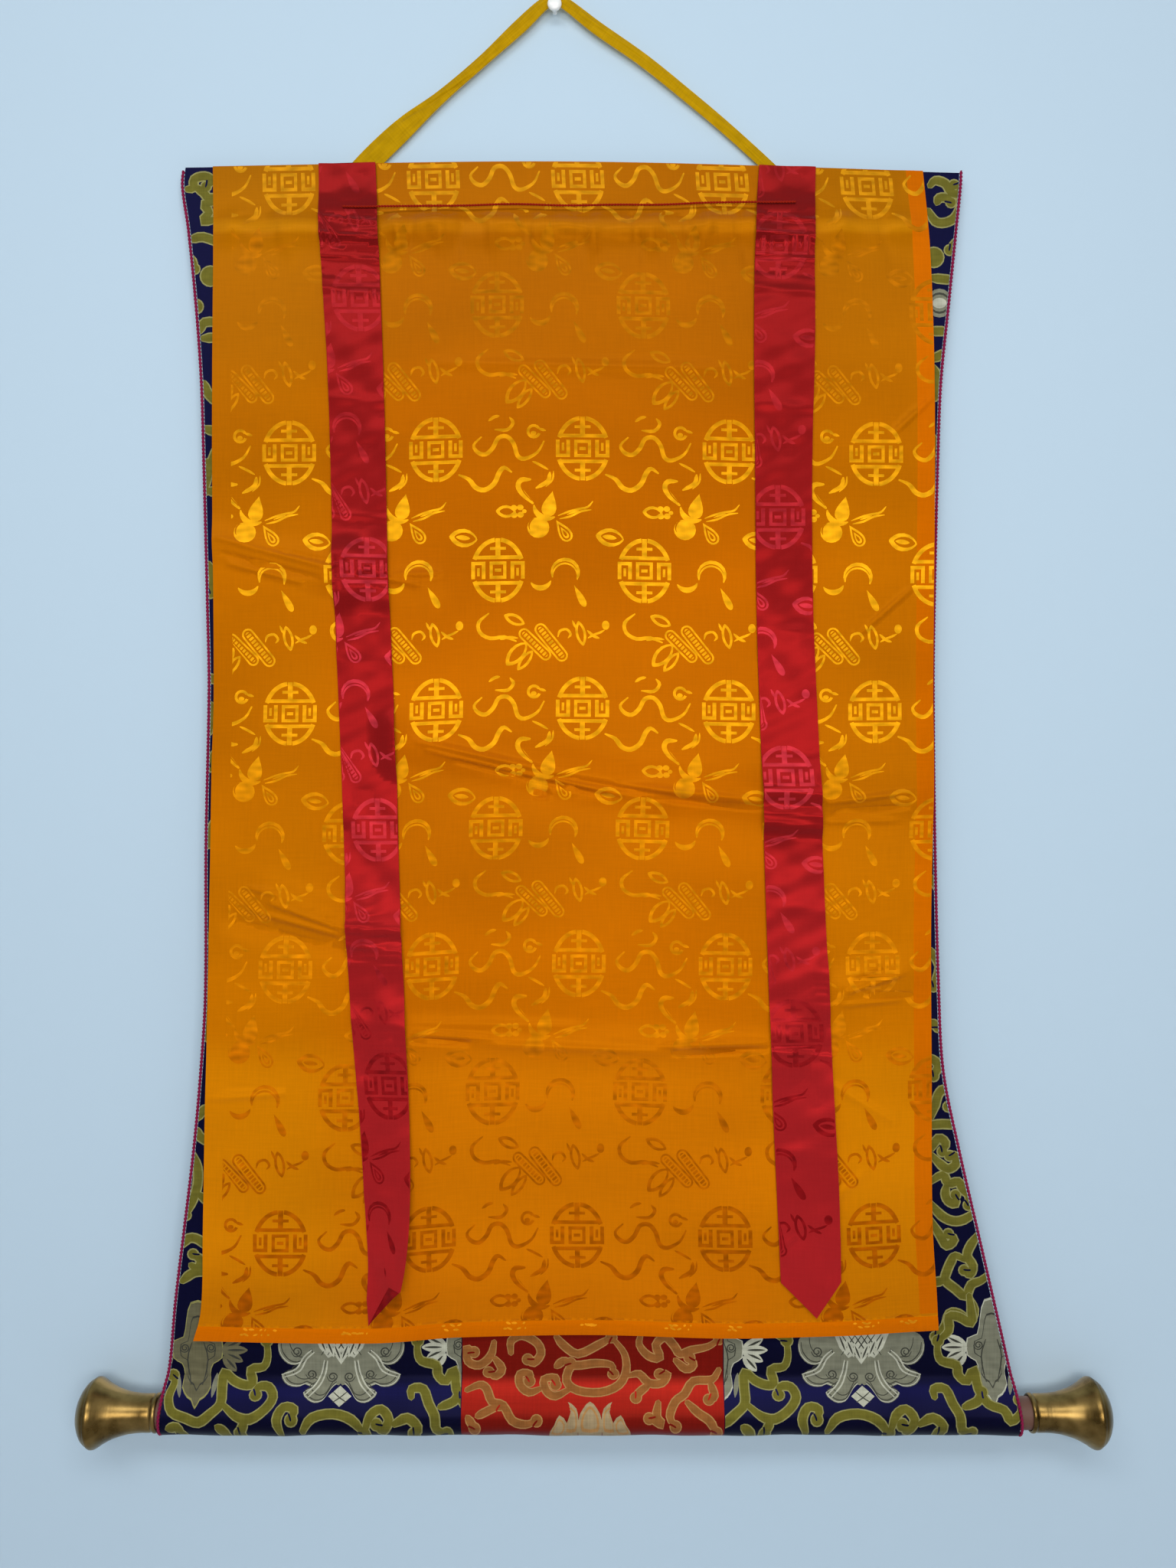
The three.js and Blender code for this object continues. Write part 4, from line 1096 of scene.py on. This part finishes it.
def brocadeOutline(column, towards, windowX, doorX):
    outer = outerEdge(column, towards)
    outer[0, 1] = topOf(outer[0, 0])
    inner = [(windowX, float(topOf(windowX))), (windowX, picture["bottomDrop"] + seamShown / 2),
             (doorX, picture["bottomDrop"] + seamShown / 2), (doorX, lastRun)]
    walk = [np.array(inner[:1])]
    for a, b in zip(inner, inner[1:]):
        steps = max(1, round(math.dist(a, b) / 5))
        walk.append(np.array([mix(np.array(a), np.array(b), (k + 1) / steps) for k in range(steps)]))
    foot = outer[-1]
    steps = round(abs(foot[0] - doorX) / 5)
    across = np.array([mix(np.array([doorX, lastRun]), foot, (k + 1) / steps) for k in range(steps - 1)])
    top = np.array([mix(outer[0], np.array(inner[0]), k / 20) for k in range(1, 20)])
    top[:, 1] = topOf(top[:, 0])
    return np.concatenate(walk + [across, outer[::-1], top])


def brocadeInner(outline, pitch):
    low, high = outline.min(axis=0), outline.max(axis=0)
    rows = np.r_[sheetGrid(low[1], 930, pitch), np.arange(930, lastRun - 1, 2.5)]
    return gridInside(outline, sheetGrid(low[0], high[0], pitch), rows, pitch * 0.35)


navyNames = ("navyGround", "olive", "olivePale", "silver", "silverDark", "silverWhite", "silverDull")
navyLooks = [silks[k] for k in navyNames]
sideCloths = {
    "brocade_left": {"column": 1, "towards": 1, "window": picture["left"] - seamShown / 2,
                     "door": door["left"] - seamShown / 2, "axis": navyChart["leftAxis"]},
    "brocade_right": {"column": 2, "towards": -1, "window": picture["right"] + seamShown / 2,
                      "door": door["right"] + seamShown / 2, "axis": navyChart["rightAxis"]},
}
for name, cut in sideCloths.items():
    outline = brocadeOutline(cut["column"], cut["towards"], cut["window"], cut["door"])
    low, high = outline.min(axis=0), outline.max(axis=0)
    found = navyFigures(cut["axis"], low[0] + 0.5, high[0] - 0.5)
    piece = makeSheet(name, outline, brocadeInner(outline, 6), brocadeInner(outline, 12), found, mountPlace,
                      mount["thick"], navyLooks)
    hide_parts(name)
    print(name, len(piece.data.polygons), "faces")


# straight cloths between seams: heading strip, picture and door
def straightOutline(left, right, top, bottom):
    across = np.linspace(left, right, 40)
    head = topOf(across) if top is None else np.full(40, top)
    down = np.linspace(head[-1], bottom, max(3, round((bottom - head[-1]) / 5)))[1:-1]
    up = np.linspace(bottom, head[0], len(down) + 2)[1:-1]
    return np.concatenate([
        np.stack([across, head], axis=1), np.stack([np.full(len(down), right), down], axis=1),
        np.stack([across[::-1], np.full(40, bottom)], axis=1), np.stack([np.full(len(up), left), up], axis=1),
    ])


halfGap = seamShown / 2
inLeft, inRight = picture["left"] + halfGap, picture["right"] - halfGap
topOutline = straightOutline(inLeft, inRight, None, picture["topDrop"] - halfGap)
brocadeTop = makeSheet("brocade_top", topOutline, brocadeInner(topOutline, 12), brocadeInner(topOutline, 14),
                       [], mountPlace, mount["thick"], navyLooks[:1])
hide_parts("brocade_top")

panelOutline = straightOutline(inLeft, inRight, picture["topDrop"] + halfGap, picture["bottomDrop"] - halfGap)
panelInner = brocadeInner(panelOutline, 16)
panel = makeSheet("picture_panel", panelOutline, panelInner, panelInner, [], mountPlace, mount["thick"],
                  [silks["canvas"]])
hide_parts("picture_panel")

# door's figure in mm, x from the pin, y as the drop that the photograph shows
doorChart = {"widths": (6.4, 4.8), "curls": (4.3, 3.6), "repeat": 92}
doorBands = [
    [(0.6, 917.3), (5.8, 923.8), (16, 930.2), (30.2, 923.8), (39.2, 918.6)],
    [(41.7, 921.2), (48.2, 930.2), (49.4, 941.8), (44.3, 952), (31.5, 957.2), (16, 955.9), (8.3, 949.5),
     (10.9, 939.2), (18.6, 937.9), (28.9, 936.6), (39.2, 937.9), (40.5, 944.3)],
    [(0.6, 939.2), (5.8, 935.3), (10.9, 936.6)],
    [(10.9, 954.6), (0.6, 959.7), (-5.8, 955.9), (-7.1, 948.2), (0.6, 946.9), (0.6, 952)],
    [(-9.6, 954.6), (-17.4, 957.2), (-23.8, 952), (-23.8, 944.3), (-17.4, 944.3), (-17.4, 949.5)],
    [(50.7, 945.6), (58.4, 944.3), (64.9, 950.7), (73.9, 950.7), (77.7, 944.3), (72.6, 944.3)],
    [(64.9, 952), (58.4, 957.2), (55.9, 961)],
    [(-41.8, 921.2), (-44.3, 931.5), (-52, 937.9), (-59.7, 935.3), (-61, 926.3), (-55.9, 928.9)],
    [(-41.8, 932.8), (-36.6, 940.5), (-40.5, 945.6), (-45.6, 943)],
    [(-30.2, 930.2), (-30.2, 921.2), (-22.5, 917.3), (-12.2, 922.5), (-9.6, 930.2), (-14.8, 936.6),
     (-18.6, 934)],
    [(59.7, 916), (58.4, 923.8), (64.9, 931.5), (72.6, 932.8), (70, 923.8), (76.4, 918.6), (82.9, 925),
     (86.7, 930.2), (94.4, 927.6), (106, 925), (113.7, 919.9)],
    [(82.9, 934), (90.6, 940.5), (95.7, 937.9), (93.1, 932.8)],
    [(-61, 955.9), (-52, 952), (-46.9, 954.6), (-43, 963.6), (-35.3, 966.2), (-28.9, 976.5), (-19.9, 979),
     (-12.2, 976.5)], [(-53.3, 973.9), (-45.6, 970), (-37.9, 966.2)], [(-59.7, 973.9), (-54.6, 981.6)],
    [(113.7, 940.5), (108.5, 948.2), (95.7, 949.5), (89.3, 958.5), (82.9, 963.6), (79, 973.9),
     (82.9, 980.3)], [(107.3, 950.7), (109.8, 959.7), (106, 962.3)],
    [(90.6, 963.6), (98.3, 971.3), (106, 976.5), (111.1, 984.2)],
    [(71.3, 963.6), (70, 973.9), (73.9, 979), (64.9, 975.2)],
]
doorLotus = [
    [(17, 986), (16.4, 976), (19.6, 968.6), (24.4, 963.6), (29.2, 968.6), (32.4, 976), (31.8, 986)],
    [(6, 986), (9.4, 976), (11.4, 969), (9.2, 963.8), (15, 968.4), (16.4, 977), (15.4, 986)],
    [(42.8, 986), (39.4, 976), (37.4, 969), (39.6, 963.8), (33.8, 968.4), (32.4, 977), (33.4, 986)],
    [(-4, 986), (0, 979), (3.4, 973), (8.6, 978), (6, 986)],
    [(52.8, 986), (48.8, 979), (45.4, 973), (40.2, 978), (42.8, 986)],
]


def doorFigures(left, right):
    parts = []
    for wide, curl, look in zip(doorChart["widths"], doorChart["curls"], (2, 1)):
        parts += [(stroke(line, wide), look) for line in doorBands]
        parts += [(ellipse(*line[-1], curl, curl, sides=14), look) for line in doorBands]
    parts += [(curlEye(line), 0) for line in doorBands]
    for petal in doorLotus:
        shape = smoothLoop(np.array(petal))
        middle = shape.mean(axis=0)
        for share, look in ((1, 3), (0.74, 2), (0.56, 3)):
            parts.append((middle + (shape - middle) * share, look))
    low = onRun(parts, 0)
    high = [(points - (0, doorChart["repeat"]), look) for points, look in low if points[:, 1].max() < 985]
    return clipped(high + low, left, right, 800, 1006)


doorLeft, doorRight = door["left"] + halfGap, door["right"] - halfGap
doorOutline = straightOutline(doorLeft, doorRight, picture["bottomDrop"] + halfGap, lastRun)
doorLooks = [silks[k] for k in ("redGround", "tan", "tanPale", "cream")]
doorSheet = makeSheet("brocade_door", doorOutline, brocadeInner(doorOutline, 6),
                      brocadeInner(doorOutline, 12), doorFigures(doorLeft + 0.4, doorRight - 0.4),
                      mountPlace, mount["thick"], doorLooks)
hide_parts("brocade_door")
print("mount cloths made")

# ribbons: drop, left edge, right edge, how far the right edge stands forward
ribbonCut = {"wide": 38, "thick": 1.0, "curl": 1.6, "crestWide": 12, "crestTall": 10, "plainEdge": 0.6}
ribbonCloths = {
    "ribbon_left": {
        "edges": [
            (105, -162.5, -123.6, 0), (152, -162, -121.5, 0), (258, -155.6, -117.4, 0),
            (390, -151.8, -114, 0.6), (523, -146.4, -108.5, 0), (602, -143.6, -106.5, 0),
            (684, -140.5, -103, 1), (764, -134, -99.5, 2), (825, -130.2, -98.5, 6),
            (866, -128, -101.5, 10), (908, -130, -111, 12),
        ],
        "pleats": [(139, -0.6, 6), (156, 1.6, 7), (636, 4, 8), (655, 2.6, 8)],
        "finePleats": [(634, 0.9, 2.2), (641, -0.8, 2), (648, 1, 2.2), (657, -0.8, 2.4), (272, 0.5, 4),
                       (160, 1.5, 2), (166, -1.2, 1.8), (148, 1.1, 2), (174, 0.9, 2.4), (186, -0.7, 2.6),
                       (197, 0.7, 3), (352, 0.5, 3), (388, 0.8, 2), (394, -0.7, 2), (400, 0.5, 2.4),
                       (452, 0.4, 4), (700, 0.5, 5), (820, 0.6, 6)],
        "end": [(0, 889), (4.6, 907.7), (38, 880)],
        "figure": (24, 202),
        "flap": [(24, 879), (37, 881), (5.2, 906.6)],
    },
    "ribbon_right": {
        "edges": [
            (105, 141.2, 180, 0), (152, 138.4, 179, 0), (227, 137, 179, 0), (311, 137.7, 177, 0),
            (412, 138.6, 177.4, 0.6), (514, 141.8, 181.6, 0.6), (602, 144.6, 184.9, 0),
            (684, 147.4, 188.6, 0.6), (765, 150.3, 192.2, 1.2), (825, 153, 195, 1.4),
            (902, 156.5, 196.5, 1.4),
        ],
        "pleats": [(137, -0.6, 6), (156, 1.6, 7), (542, 3, 8), (564, 3, 8)],
        "finePleats": [(541, 0.8, 2.2), (549, -0.8, 2.4), (564, 0.8, 2.4), (571, -0.6, 2.4), (276, 0.5, 4),
                       (159, 1.5, 2), (165, -1.2, 1.8), (147, 1.1, 2), (173, 0.9, 2.2), (183, -0.8, 2.4),
                       (196, 0.6, 3), (556, 0.6, 2), (430, 0.4, 4), (620, 0.4, 5), (716, -0.7, 2.2),
                       (721, 0.6, 2.2), (790, 0.5, 6)],
        "end": [(0, 878), (22, 901.8), (38, 876)],
        "figure": (15, 166),
    },
}


def veilCrest(x, drop):
    highest = veilDepth(x, drop)
    for i in (-1, -0.5, 0, 0.5, 1):
        for j in (-1, -0.5, 0, 0.5, 1):
            near = veilDepth(x + i * ribbonCut["crestWide"], drop + j * ribbonCut["crestTall"], fine=False)
            highest = np.maximum(highest, near)
    return highest


def ribbonPlacer(cut):
    def place(flat, offset):
        across, drop = flat[:, 0] / ribbonCut["wide"], flat[:, 1]
        x = mix(readTable(cut["edges"], 1, drop), readTable(cut["edges"], 2, drop), across)
        relief = sum(rise * bump(drop - at, half) for at, rise, half in cut["pleats"])
        fine = sum(rise * bump(drop - at - 4 * (across - 0.5), half) for at, rise, half in cut["finePleats"])
        cup = 0.35 * np.sin(math.pi * across) * np.sin(drop / 31)
        fine = fine + 0.2 * np.sin(drop / 3.1 + 5 * across) * np.sin(drop / 19 + 2.4 * across)
        fine = fine + 0.32 * np.sin(drop / 6.7 - 7 * across + 1) * np.sin(drop / 47 + 2)
        lift = readTable(cut["edges"], 3, drop) * np.clip(across, 0, 1) ** ribbonCut["curl"]
        clear = (veilCloth["thick"] + ribbonCut["thick"]) / 2 + layerGap + 0.5
        depth = veilCrest(x, drop) + clear + np.maximum(relief + fine + cup, -0.4) + lift
        return np.stack([x, -(depth + offset), -drop], axis=1)
    return place


# the ribbons are cut from the same figured silk, in red
def ribbonFigures(startX, startDrop, bottom):
    shift = np.array([startX - damask["firstX"], startDrop - damask["rows"][1]])
    wide, edge = ribbonCut["wide"], ribbonCut["plainEdge"]
    low, high = np.array([0, 100]) - shift, np.array([wide, 920]) - shift
    found = [(points + shift, look) for points, look in damaskFigures(low[0], high[0], low[1], high[1])]
    return clipped([f for f in found if f[0][:, 1].max() < bottom], edge, wide - edge, 110, bottom)


for name, cut in ribbonCloths.items():
    place = ribbonPlacer(cut)
    leftTop, rightTop = (float(topOf(cut["edges"][0][k])) + 0.4 for k in (1, 2))
    wide = ribbonCut["wide"]
    outline = finer([(0, leftTop), (wide, rightTop)] + cut["end"][::-1])
    bottom = min(cut["end"][0][1], cut["end"][2][1]) - 4
    inner = gridInside(outline, sheetGrid(0, wide, 2.5), sheetGrid(108, 908, 2.2), 0.9)
    backInner = gridInside(outline, sheetGrid(0, wide, 5), sheetGrid(108, 908, 4), 1.5)
    found = ribbonFigures(*cut["figure"], bottom)
    found += [(np.array(cut["flap"]), 1)] if "flap" in cut else []
    piece = makeSheet(name, outline, inner, backInner, found, place, ribbonCut["thick"],
                      [silks["ribbonGround"], silks["ribbonFigure"]])
    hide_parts(name)
    print(name, len(piece.data.polygons), "faces")

# hanging tape: x, drop, width, thickness, depth
loopLine = [
    (-146, 128, 16, 1, 2.6), (-136.5, 111.5, 16, 1, 2.6), (-106.5, 82.5, 15, 1, 3.4),
    (-78.7, 59.7, 8.4, 2, 4.2), (-50.1, 35.8, 7.4, 2, 5), (-23.6, 12, 9.6, 1.6, 5.6), (-7.4, -2.6, 8, 2, 6),
    (0, -5.6, 6.8, 2.2, 6), (7.2, -3, 7.6, 2, 6), (29.4, 13.6, 8.8, 1.6, 5.6), (60.7, 34.8, 8.6, 1.6, 5),
    (90.1, 57.6, 8.4, 1.6, 4.2), (120.6, 82.5, 8.2, 1.4, 3.4), (153, 111.5, 8.4, 1.2, 2.7),
    (168, 128, 9.6, 1.2, 2.7),
]


def loopTable():
    places = np.array(loopLine, float)
    steps = np.sqrt(np.linalg.norm(np.diff(places[:, [0, 1, 4]], axis=0), axis=1))
    share = np.r_[0, np.cumsum(steps)]
    fine = np.linspace(0, share[-1], 400)
    rows = np.column_stack([share, places])
    x, drop = readTable(rows, 1, fine), readTable(rows, 2, fine)
    run = np.r_[0, np.cumsum(np.hypot(np.diff(x), np.diff(drop)))]
    return np.column_stack([run, x, drop] + [readTable(rows, k, fine) for k in (3, 4, 5)])


loopRows = loopTable()
loopLong = loopRows[-1, 0]


def loopPlace(flat, offset):
    run, across = np.clip(flat[:, 0], 0, loopLong), flat[:, 1] / 10
    at = lambda k: np.interp(run, loopRows[:, 0], loopRows[:, k])
    step = 2.0
    low, high = np.maximum(run - step, 0), np.minimum(run + step, loopLong)
    dx = np.interp(high, loopRows[:, 0], loopRows[:, 1]) - np.interp(low, loopRows[:, 0], loopRows[:, 1])
    dz = np.interp(high, loopRows[:, 0], loopRows[:, 2]) - np.interp(low, loopRows[:, 0], loopRows[:, 2])
    long = np.maximum(np.hypot(dx, dz), 1e-9)
    width, thick = at(3), at(4)
    fold = 0.35 * bump(across - 0.18, 0.09) - 0.3 * bump(across + 0.1 + 0.1 * np.sin(run / 60), 0.07)
    twist = bump(across - mix(0.46, -0.46, np.clip((run - 62) / 66, 0, 1)), 0.09)
    fold = fold - 0.8 * twist * smoothStep(run, 58, 70) * (1 - smoothStep(run, 118, 130))
    crown = 0.5 * thick * (np.clip(1 - (2 * across) ** 2, 0, 1) - 1) * 0.5
    depth = at(5) + np.sign(offset) * thick / 2 + np.where(offset >= 0, fold + crown, 0)
    side = across * width
    return np.stack([at(1) + side * dz / long, -depth, -(at(2) - side * dx / long)], axis=1)


loopOutline = finer(bar(0, -5, loopLong, 5), 1.5)
loopInner = gridInside(loopOutline, sheetGrid(0, loopLong, 3), sheetGrid(-5, 5, 0.8), 0.4)
loopBack = gridInside(loopOutline, sheetGrid(0, loopLong, 3), sheetGrid(-5, 5, 2.5), 0.8)
tape = makeSheet("hanging_loop", loopOutline, loopInner, loopBack, [], loopPlace, 1.0, [silks["tape"]])
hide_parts("hanging_loop")
print("ribbons and tape made")


# twisted cords: two strands round a line of points in mm
def twistedCord(name, line, strandRadius, turnRadius, pitch, material, sides=6):
    line = np.array(line)
    tangent = np.gradient(line, axis=0)
    tangent /= np.linalg.norm(tangent, axis=1)[:, None]
    guide = np.array([1.0, 0, 0]) if abs(tangent[0, 0]) < 0.7 else np.array([0, 0, 1.0])
    first = np.cross(tangent, guide)
    first /= np.linalg.norm(first, axis=1)[:, None]
    second = np.cross(tangent, first)
    run = np.r_[0, np.cumsum(np.linalg.norm(np.diff(line, axis=0), axis=1))]
    points, faces, uvs = [], [], []
    for strand in (0, 1):
        turn = 2 * math.pi * run / pitch + strand * math.pi
        centre = line + turnRadius * (np.cos(turn)[:, None] * first + np.sin(turn)[:, None] * second)
        base = len(points)
        for i in range(len(line)):
            for k in range(sides):
                angle = 2 * math.pi * k / sides
                way = math.cos(angle) * first[i] + math.sin(angle) * second[i]
                points.append(centre[i] + strandRadius * way)
                uvs.append((run[i], k / sides * 4))
        for i in range(len(line) - 1):
            for k in range(sides):
                a, b = base + i * sides + k, base + i * sides + (k + 1) % sides
                faces.append((a, b, b + sides, a + sides))
        last = base + (len(line) - 1) * sides
        faces.append(tuple(base + k for k in range(sides))[::-1])
        faces.append(tuple(last + k for k in range(sides)))
    mesh = bpy.data.meshes.new(name)
    mesh.from_pydata((np.array(points) * mm).tolist(), [], faces)
    layFlat(mesh, np.array(uvs))
    work = bmesh.new()
    work.from_mesh(mesh)
    bmesh.ops.recalc_face_normals(work, faces=work.faces)
    work.to_mesh(mesh)
    work.free()
    mesh.polygons.foreach_set("use_smooth", np.ones(len(mesh.polygons), bool))
    mesh.materials.append(material)
    return linked(name, mesh)


edgeCord = cloth("edgeCord", (132, 30, 66), rough=0.6, bump=0.3)
redCord = cloth("redCord", (140, 30, 16), rough=0.6, bump=0.3)
cords = {"piping_left": {"column": 1, "towards": 1}, "piping_right": {"column": 2, "towards": -1}}
for name, cut in cords.items():
    runs = np.arange(112, 1000, 0.9)
    level = sectionAt(runs)[1]
    edge = readTable(mountEdge, cut["column"], level) + cut["towards"] * piping["radius"]
    line = mountPlace(np.stack([edge, runs], axis=1), 0)
    piece = twistedCord(name, line, piping["strand"], piping["turn"], piping["pitch"], edgeCord)
    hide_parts(name)

thinCord = {"left": (-145.5, 139.2), "right": (165.6, 136.5), "climb": 26, "radius": 1, "strand": 0.5,
            "turn": 0.36, "pitch": 4}


def veilCordLine(cord):
    share = np.linspace(0, 1, 380)
    x, drop = (mix(cord["left"][k], cord["right"][k], share) for k in (0, 1))
    leftStop = ribbonCloths["ribbon_left"]["edges"][1][2]
    rightStop = ribbonCloths["ribbon_right"]["edges"][1][1]
    onLeft = 1 - smoothStep(x, leftStop, leftStop + cord["climb"])
    onRight = smoothStep(x, rightStop - cord["climb"], rightStop)
    over = veilCloth["thick"] / 2 + cord["radius"] + layerGap + 1.4 * np.maximum(onLeft, onRight)
    sag = 0.5 * np.sin(x / 26) + 0.3 * np.sin(x / 11 + 1)
    return np.stack([x, -(veilCrest(x, drop) + over), -(drop + sag)], axis=1)


veilCord = twistedCord("veil_cord", veilCordLine(thinCord), thinCord["strand"], thinCord["turn"],
                       thinCord["pitch"], redCord)
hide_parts("veil_cord")
print("cords made")


# turned pieces: a profile of distance out and radius, spun round an axis
def turnedPiece(name, profile, start, axis, steps, material):
    work = bmesh.new()
    direction = Vector(axis)
    sideways = direction.orthogonal().normalized()
    verts = []
    for out, radius in profile:
        verts.append(work.verts.new((Vector(start) + direction * out + sideways * radius) * mm))
    edges = [work.edges.new(pair) for pair in zip(verts, verts[1:])]
    bmesh.ops.spin(work, geom=verts + edges, cent=Vector(start) * mm, axis=direction, angle=2 * math.pi,
                   steps=steps, use_merge=True)
    bmesh.ops.remove_doubles(work, verts=work.verts, dist=1e-6)
    bmesh.ops.recalc_face_normals(work, faces=work.faces)
    mesh = bpy.data.meshes.new(name)
    work.to_mesh(mesh)
    work.free()
    mesh.polygons.foreach_set("use_smooth", np.ones(len(mesh.polygons), bool))
    mesh.set_sharp_from_angle(angle=math.radians(40))
    mesh.materials.append(material)
    return linked(name, mesh)


def wornBrass():
    material, tree, shader = newMaterial("wornBrass")
    place = tree.nodes.new("ShaderNodeTexCoord")
    patches = noiseNode(tree, place.outputs["Object"], 60, (1, 1, 1), 4)
    lathe = noiseNode(tree, place.outputs["Object"], 900, (1, 0.02, 0.02), 2)
    ramp = tree.nodes.new("ShaderNodeValToRGB")
    ramp.color_ramp.elements[0].position = 0.35
    ramp.color_ramp.elements[0].color = srgb(96, 74, 36)
    ramp.color_ramp.elements[1].position = 0.65
    ramp.color_ramp.elements[1].color = srgb(150, 122, 70)
    tree.links.new(patches, ramp.inputs[0])
    tree.links.new(ramp.outputs["Color"], shader.inputs["Base Color"])
    rough = mathNode(tree, "ADD", mathNode(tree, "MULTIPLY", patches, 0.25), 0.18)
    tree.links.new(rough, shader.inputs["Roughness"])
    relief = tree.nodes.new("ShaderNodeBump")
    relief.inputs["Strength"].default_value = 0.15
    relief.inputs["Distance"].default_value = 0.0003
    tree.links.new(lathe, relief.inputs["Height"])
    tree.links.new(relief.outputs[0], shader.inputs["Normal"])
    shader.inputs["Metallic"].default_value = 1
    return material


knobCut = {
    "socket": 11.1, "deep": 21, "rodIn": 20, "leftNeck": -274.3, "rightNeck": 328.6,
    "profile": [(0, 12.2), (0.6, 12.8), (1.6, 13), (2.6, 12.8), (3.2, 12.2), (3.8, 11.9), (4.4, 12.2),
                (5, 12.5), (10, 12.5), (14, 12.7), (20, 13.4), (25, 14.6), (30, 16.2), (34, 18), (38, 20.2),
                (40.6, 22), (42.4, 23), (43.4, 23.3), (44.6, 23.3), (45.6, 22.8), (46.2, 22), (47, 21.8),
                (48.4, 20.8), (50, 19.4), (52, 16.6), (54, 12.8), (55.4, 8.6), (56.2, 4.6), (56.5, 0)],
}
brass = wornBrass()
socket = [(knobCut["deep"], 0), (knobCut["deep"], knobCut["socket"]), (0.4, knobCut["socket"]), (0, 11.5)]
for name, neck, outward in (("knob_left", "leftNeck", -1), ("knob_right", "rightNeck", 1)):
    start = (knobCut[neck], -rod["depth"], -rod["drop"])
    piece = turnedPiece(name, socket + knobCut["profile"], start, (outward, 0, 0), 64, brass)
    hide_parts(name)

rodEnds = (knobCut["leftNeck"] - knobCut["rodIn"], knobCut["rightNeck"] + knobCut["rodIn"])
rodLong, rodRadius = rodEnds[1] - rodEnds[0], rod["radius"]
rodProfile = [(0, 0), (0, 10.2), (0.6, rodRadius), (rodLong - 0.6, rodRadius), (rodLong, 10.2), (rodLong, 0)]
wood = plain("wood", (100, 66, 52), 0.6)
dowel = turnedPiece("bottom_rod", rodProfile, (rodEnds[0], -rod["depth"], -rod["drop"]), (1, 0, 0), 48, wood)
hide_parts("bottom_rod")

pinProfile = [
    (0, 0), (0, 1.6), (8.8, 1.6), (9.0, 2.6), (9.2, 3.6), (9.6, 4.3), (10.2, 4.75), (10.9, 4.85),
    (11.6, 4.75), (12.2, 4.4), (12.7, 3.7), (13.05, 2.6), (13.2, 1.2), (13.2, 0),
]
pinWhite = plain("pinWhite", (236, 236, 232), 0.3, coat=0.4)
pin = turnedPiece("wall_pin", pinProfile, (0, 0, 0), (0, -1, 0), 40, pinWhite)
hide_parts("wall_pin")
print("rod, caps and pin made")

# stage: a pale wall that only shows from the front, and a floor
wallPaint, tree, shader = newMaterial("wallPaint")
shader.inputs["Base Color"].default_value = srgb(184, 205, 220)
shader.inputs["Roughness"].default_value = 0.8
facing = tree.nodes.new("ShaderNodeNewGeometry")
clear = tree.nodes.new("ShaderNodeBsdfTransparent")
pick = tree.nodes.new("ShaderNodeMixShader")
tree.links.new(facing.outputs["Backfacing"], pick.inputs[0])
tree.links.new(shader.outputs[0], pick.inputs[1])
tree.links.new(clear.outputs[0], pick.inputs[2])
tree.links.new(pick.outputs[0], tree.nodes["Material Output"].inputs["Surface"])


def stagePlane(name, corners, material):
    mesh = bpy.data.meshes.new(name)
    mesh.from_pydata(corners, [], [(0, 1, 2, 3)])
    mesh.materials.append(material)
    plane = bpy.data.objects.new(name, mesh)
    bpy.context.collection.objects.link(plane)
    return plane


wall = stagePlane("wall", [(-3, 0.001, -1.3), (3, 0.001, -1.3), (3, 0.001, 1.6), (-3, 0.001, 1.6)], wallPaint)
wall.visible_shadow = False
floorPaint = plain("floorPaint", (176, 178, 182), 0.7)
stagePlane("floor", [(-4, -5, -1.3), (4, -5, -1.3), (4, 3, -1.3), (-4, 3, -1.3)], floorPaint)


def areaLight(name, place, aim, size, power, colour):
    data = bpy.data.lights.new(name, "AREA")
    data.shape = "RECTANGLE"
    data.size, data.size_y = size
    data.energy = power
    data.color = colour
    light = bpy.data.objects.new(name, data)
    bpy.context.collection.objects.link(light)
    light.location = place
    light.rotation_euler = (Vector(aim) - Vector(place)).to_track_quat("-Z", "Y").to_euler()


areaLight("front", (0.1, -1.8, -0.45), (0.05, 0, -0.5), (1.4, 0.5), 17, (1.0, 0.98, 0.95))
areaLight("ceiling", (-0.1, -1.4, 0.45), (0.05, 0, -0.6), (1.6, 0.4), 12, (0.96, 0.98, 1.0))
areaLight("behind", (0, 1.6, -0.1), (0, 0, -0.5), (1.4, 0.8), 12, (1.0, 1.0, 1.0))
world = bpy.data.worlds.new("room")
world.use_nodes = True
tree = world.node_tree
place = tree.nodes.new("ShaderNodeTexCoord")
split = tree.nodes.new("ShaderNodeSeparateXYZ")
ramp = tree.nodes.new("ShaderNodeValToRGB")
height = tree.nodes.new("ShaderNodeMapRange")
height.inputs["From Min"].default_value = -0.6
height.inputs["From Max"].default_value = 0.9
ramp.color_ramp.elements[0].color = (0.16, 0.17, 0.19, 1)
ramp.color_ramp.elements[1].color = (0.8, 0.88, 0.96, 1)
tree.links.new(place.outputs["Generated"], split.inputs[0])
tree.links.new(split.outputs["Z"], height.inputs["Value"])
tree.links.new(height.outputs[0], ramp.inputs[0])
tree.links.new(ramp.outputs["Color"], tree.nodes["Background"].inputs["Color"])
tree.nodes["Background"].inputs["Strength"].default_value = 0.5
bpy.context.scene.world = world
bpy.context.scene.view_settings.view_transform = "Standard"
print("stage and lights set")
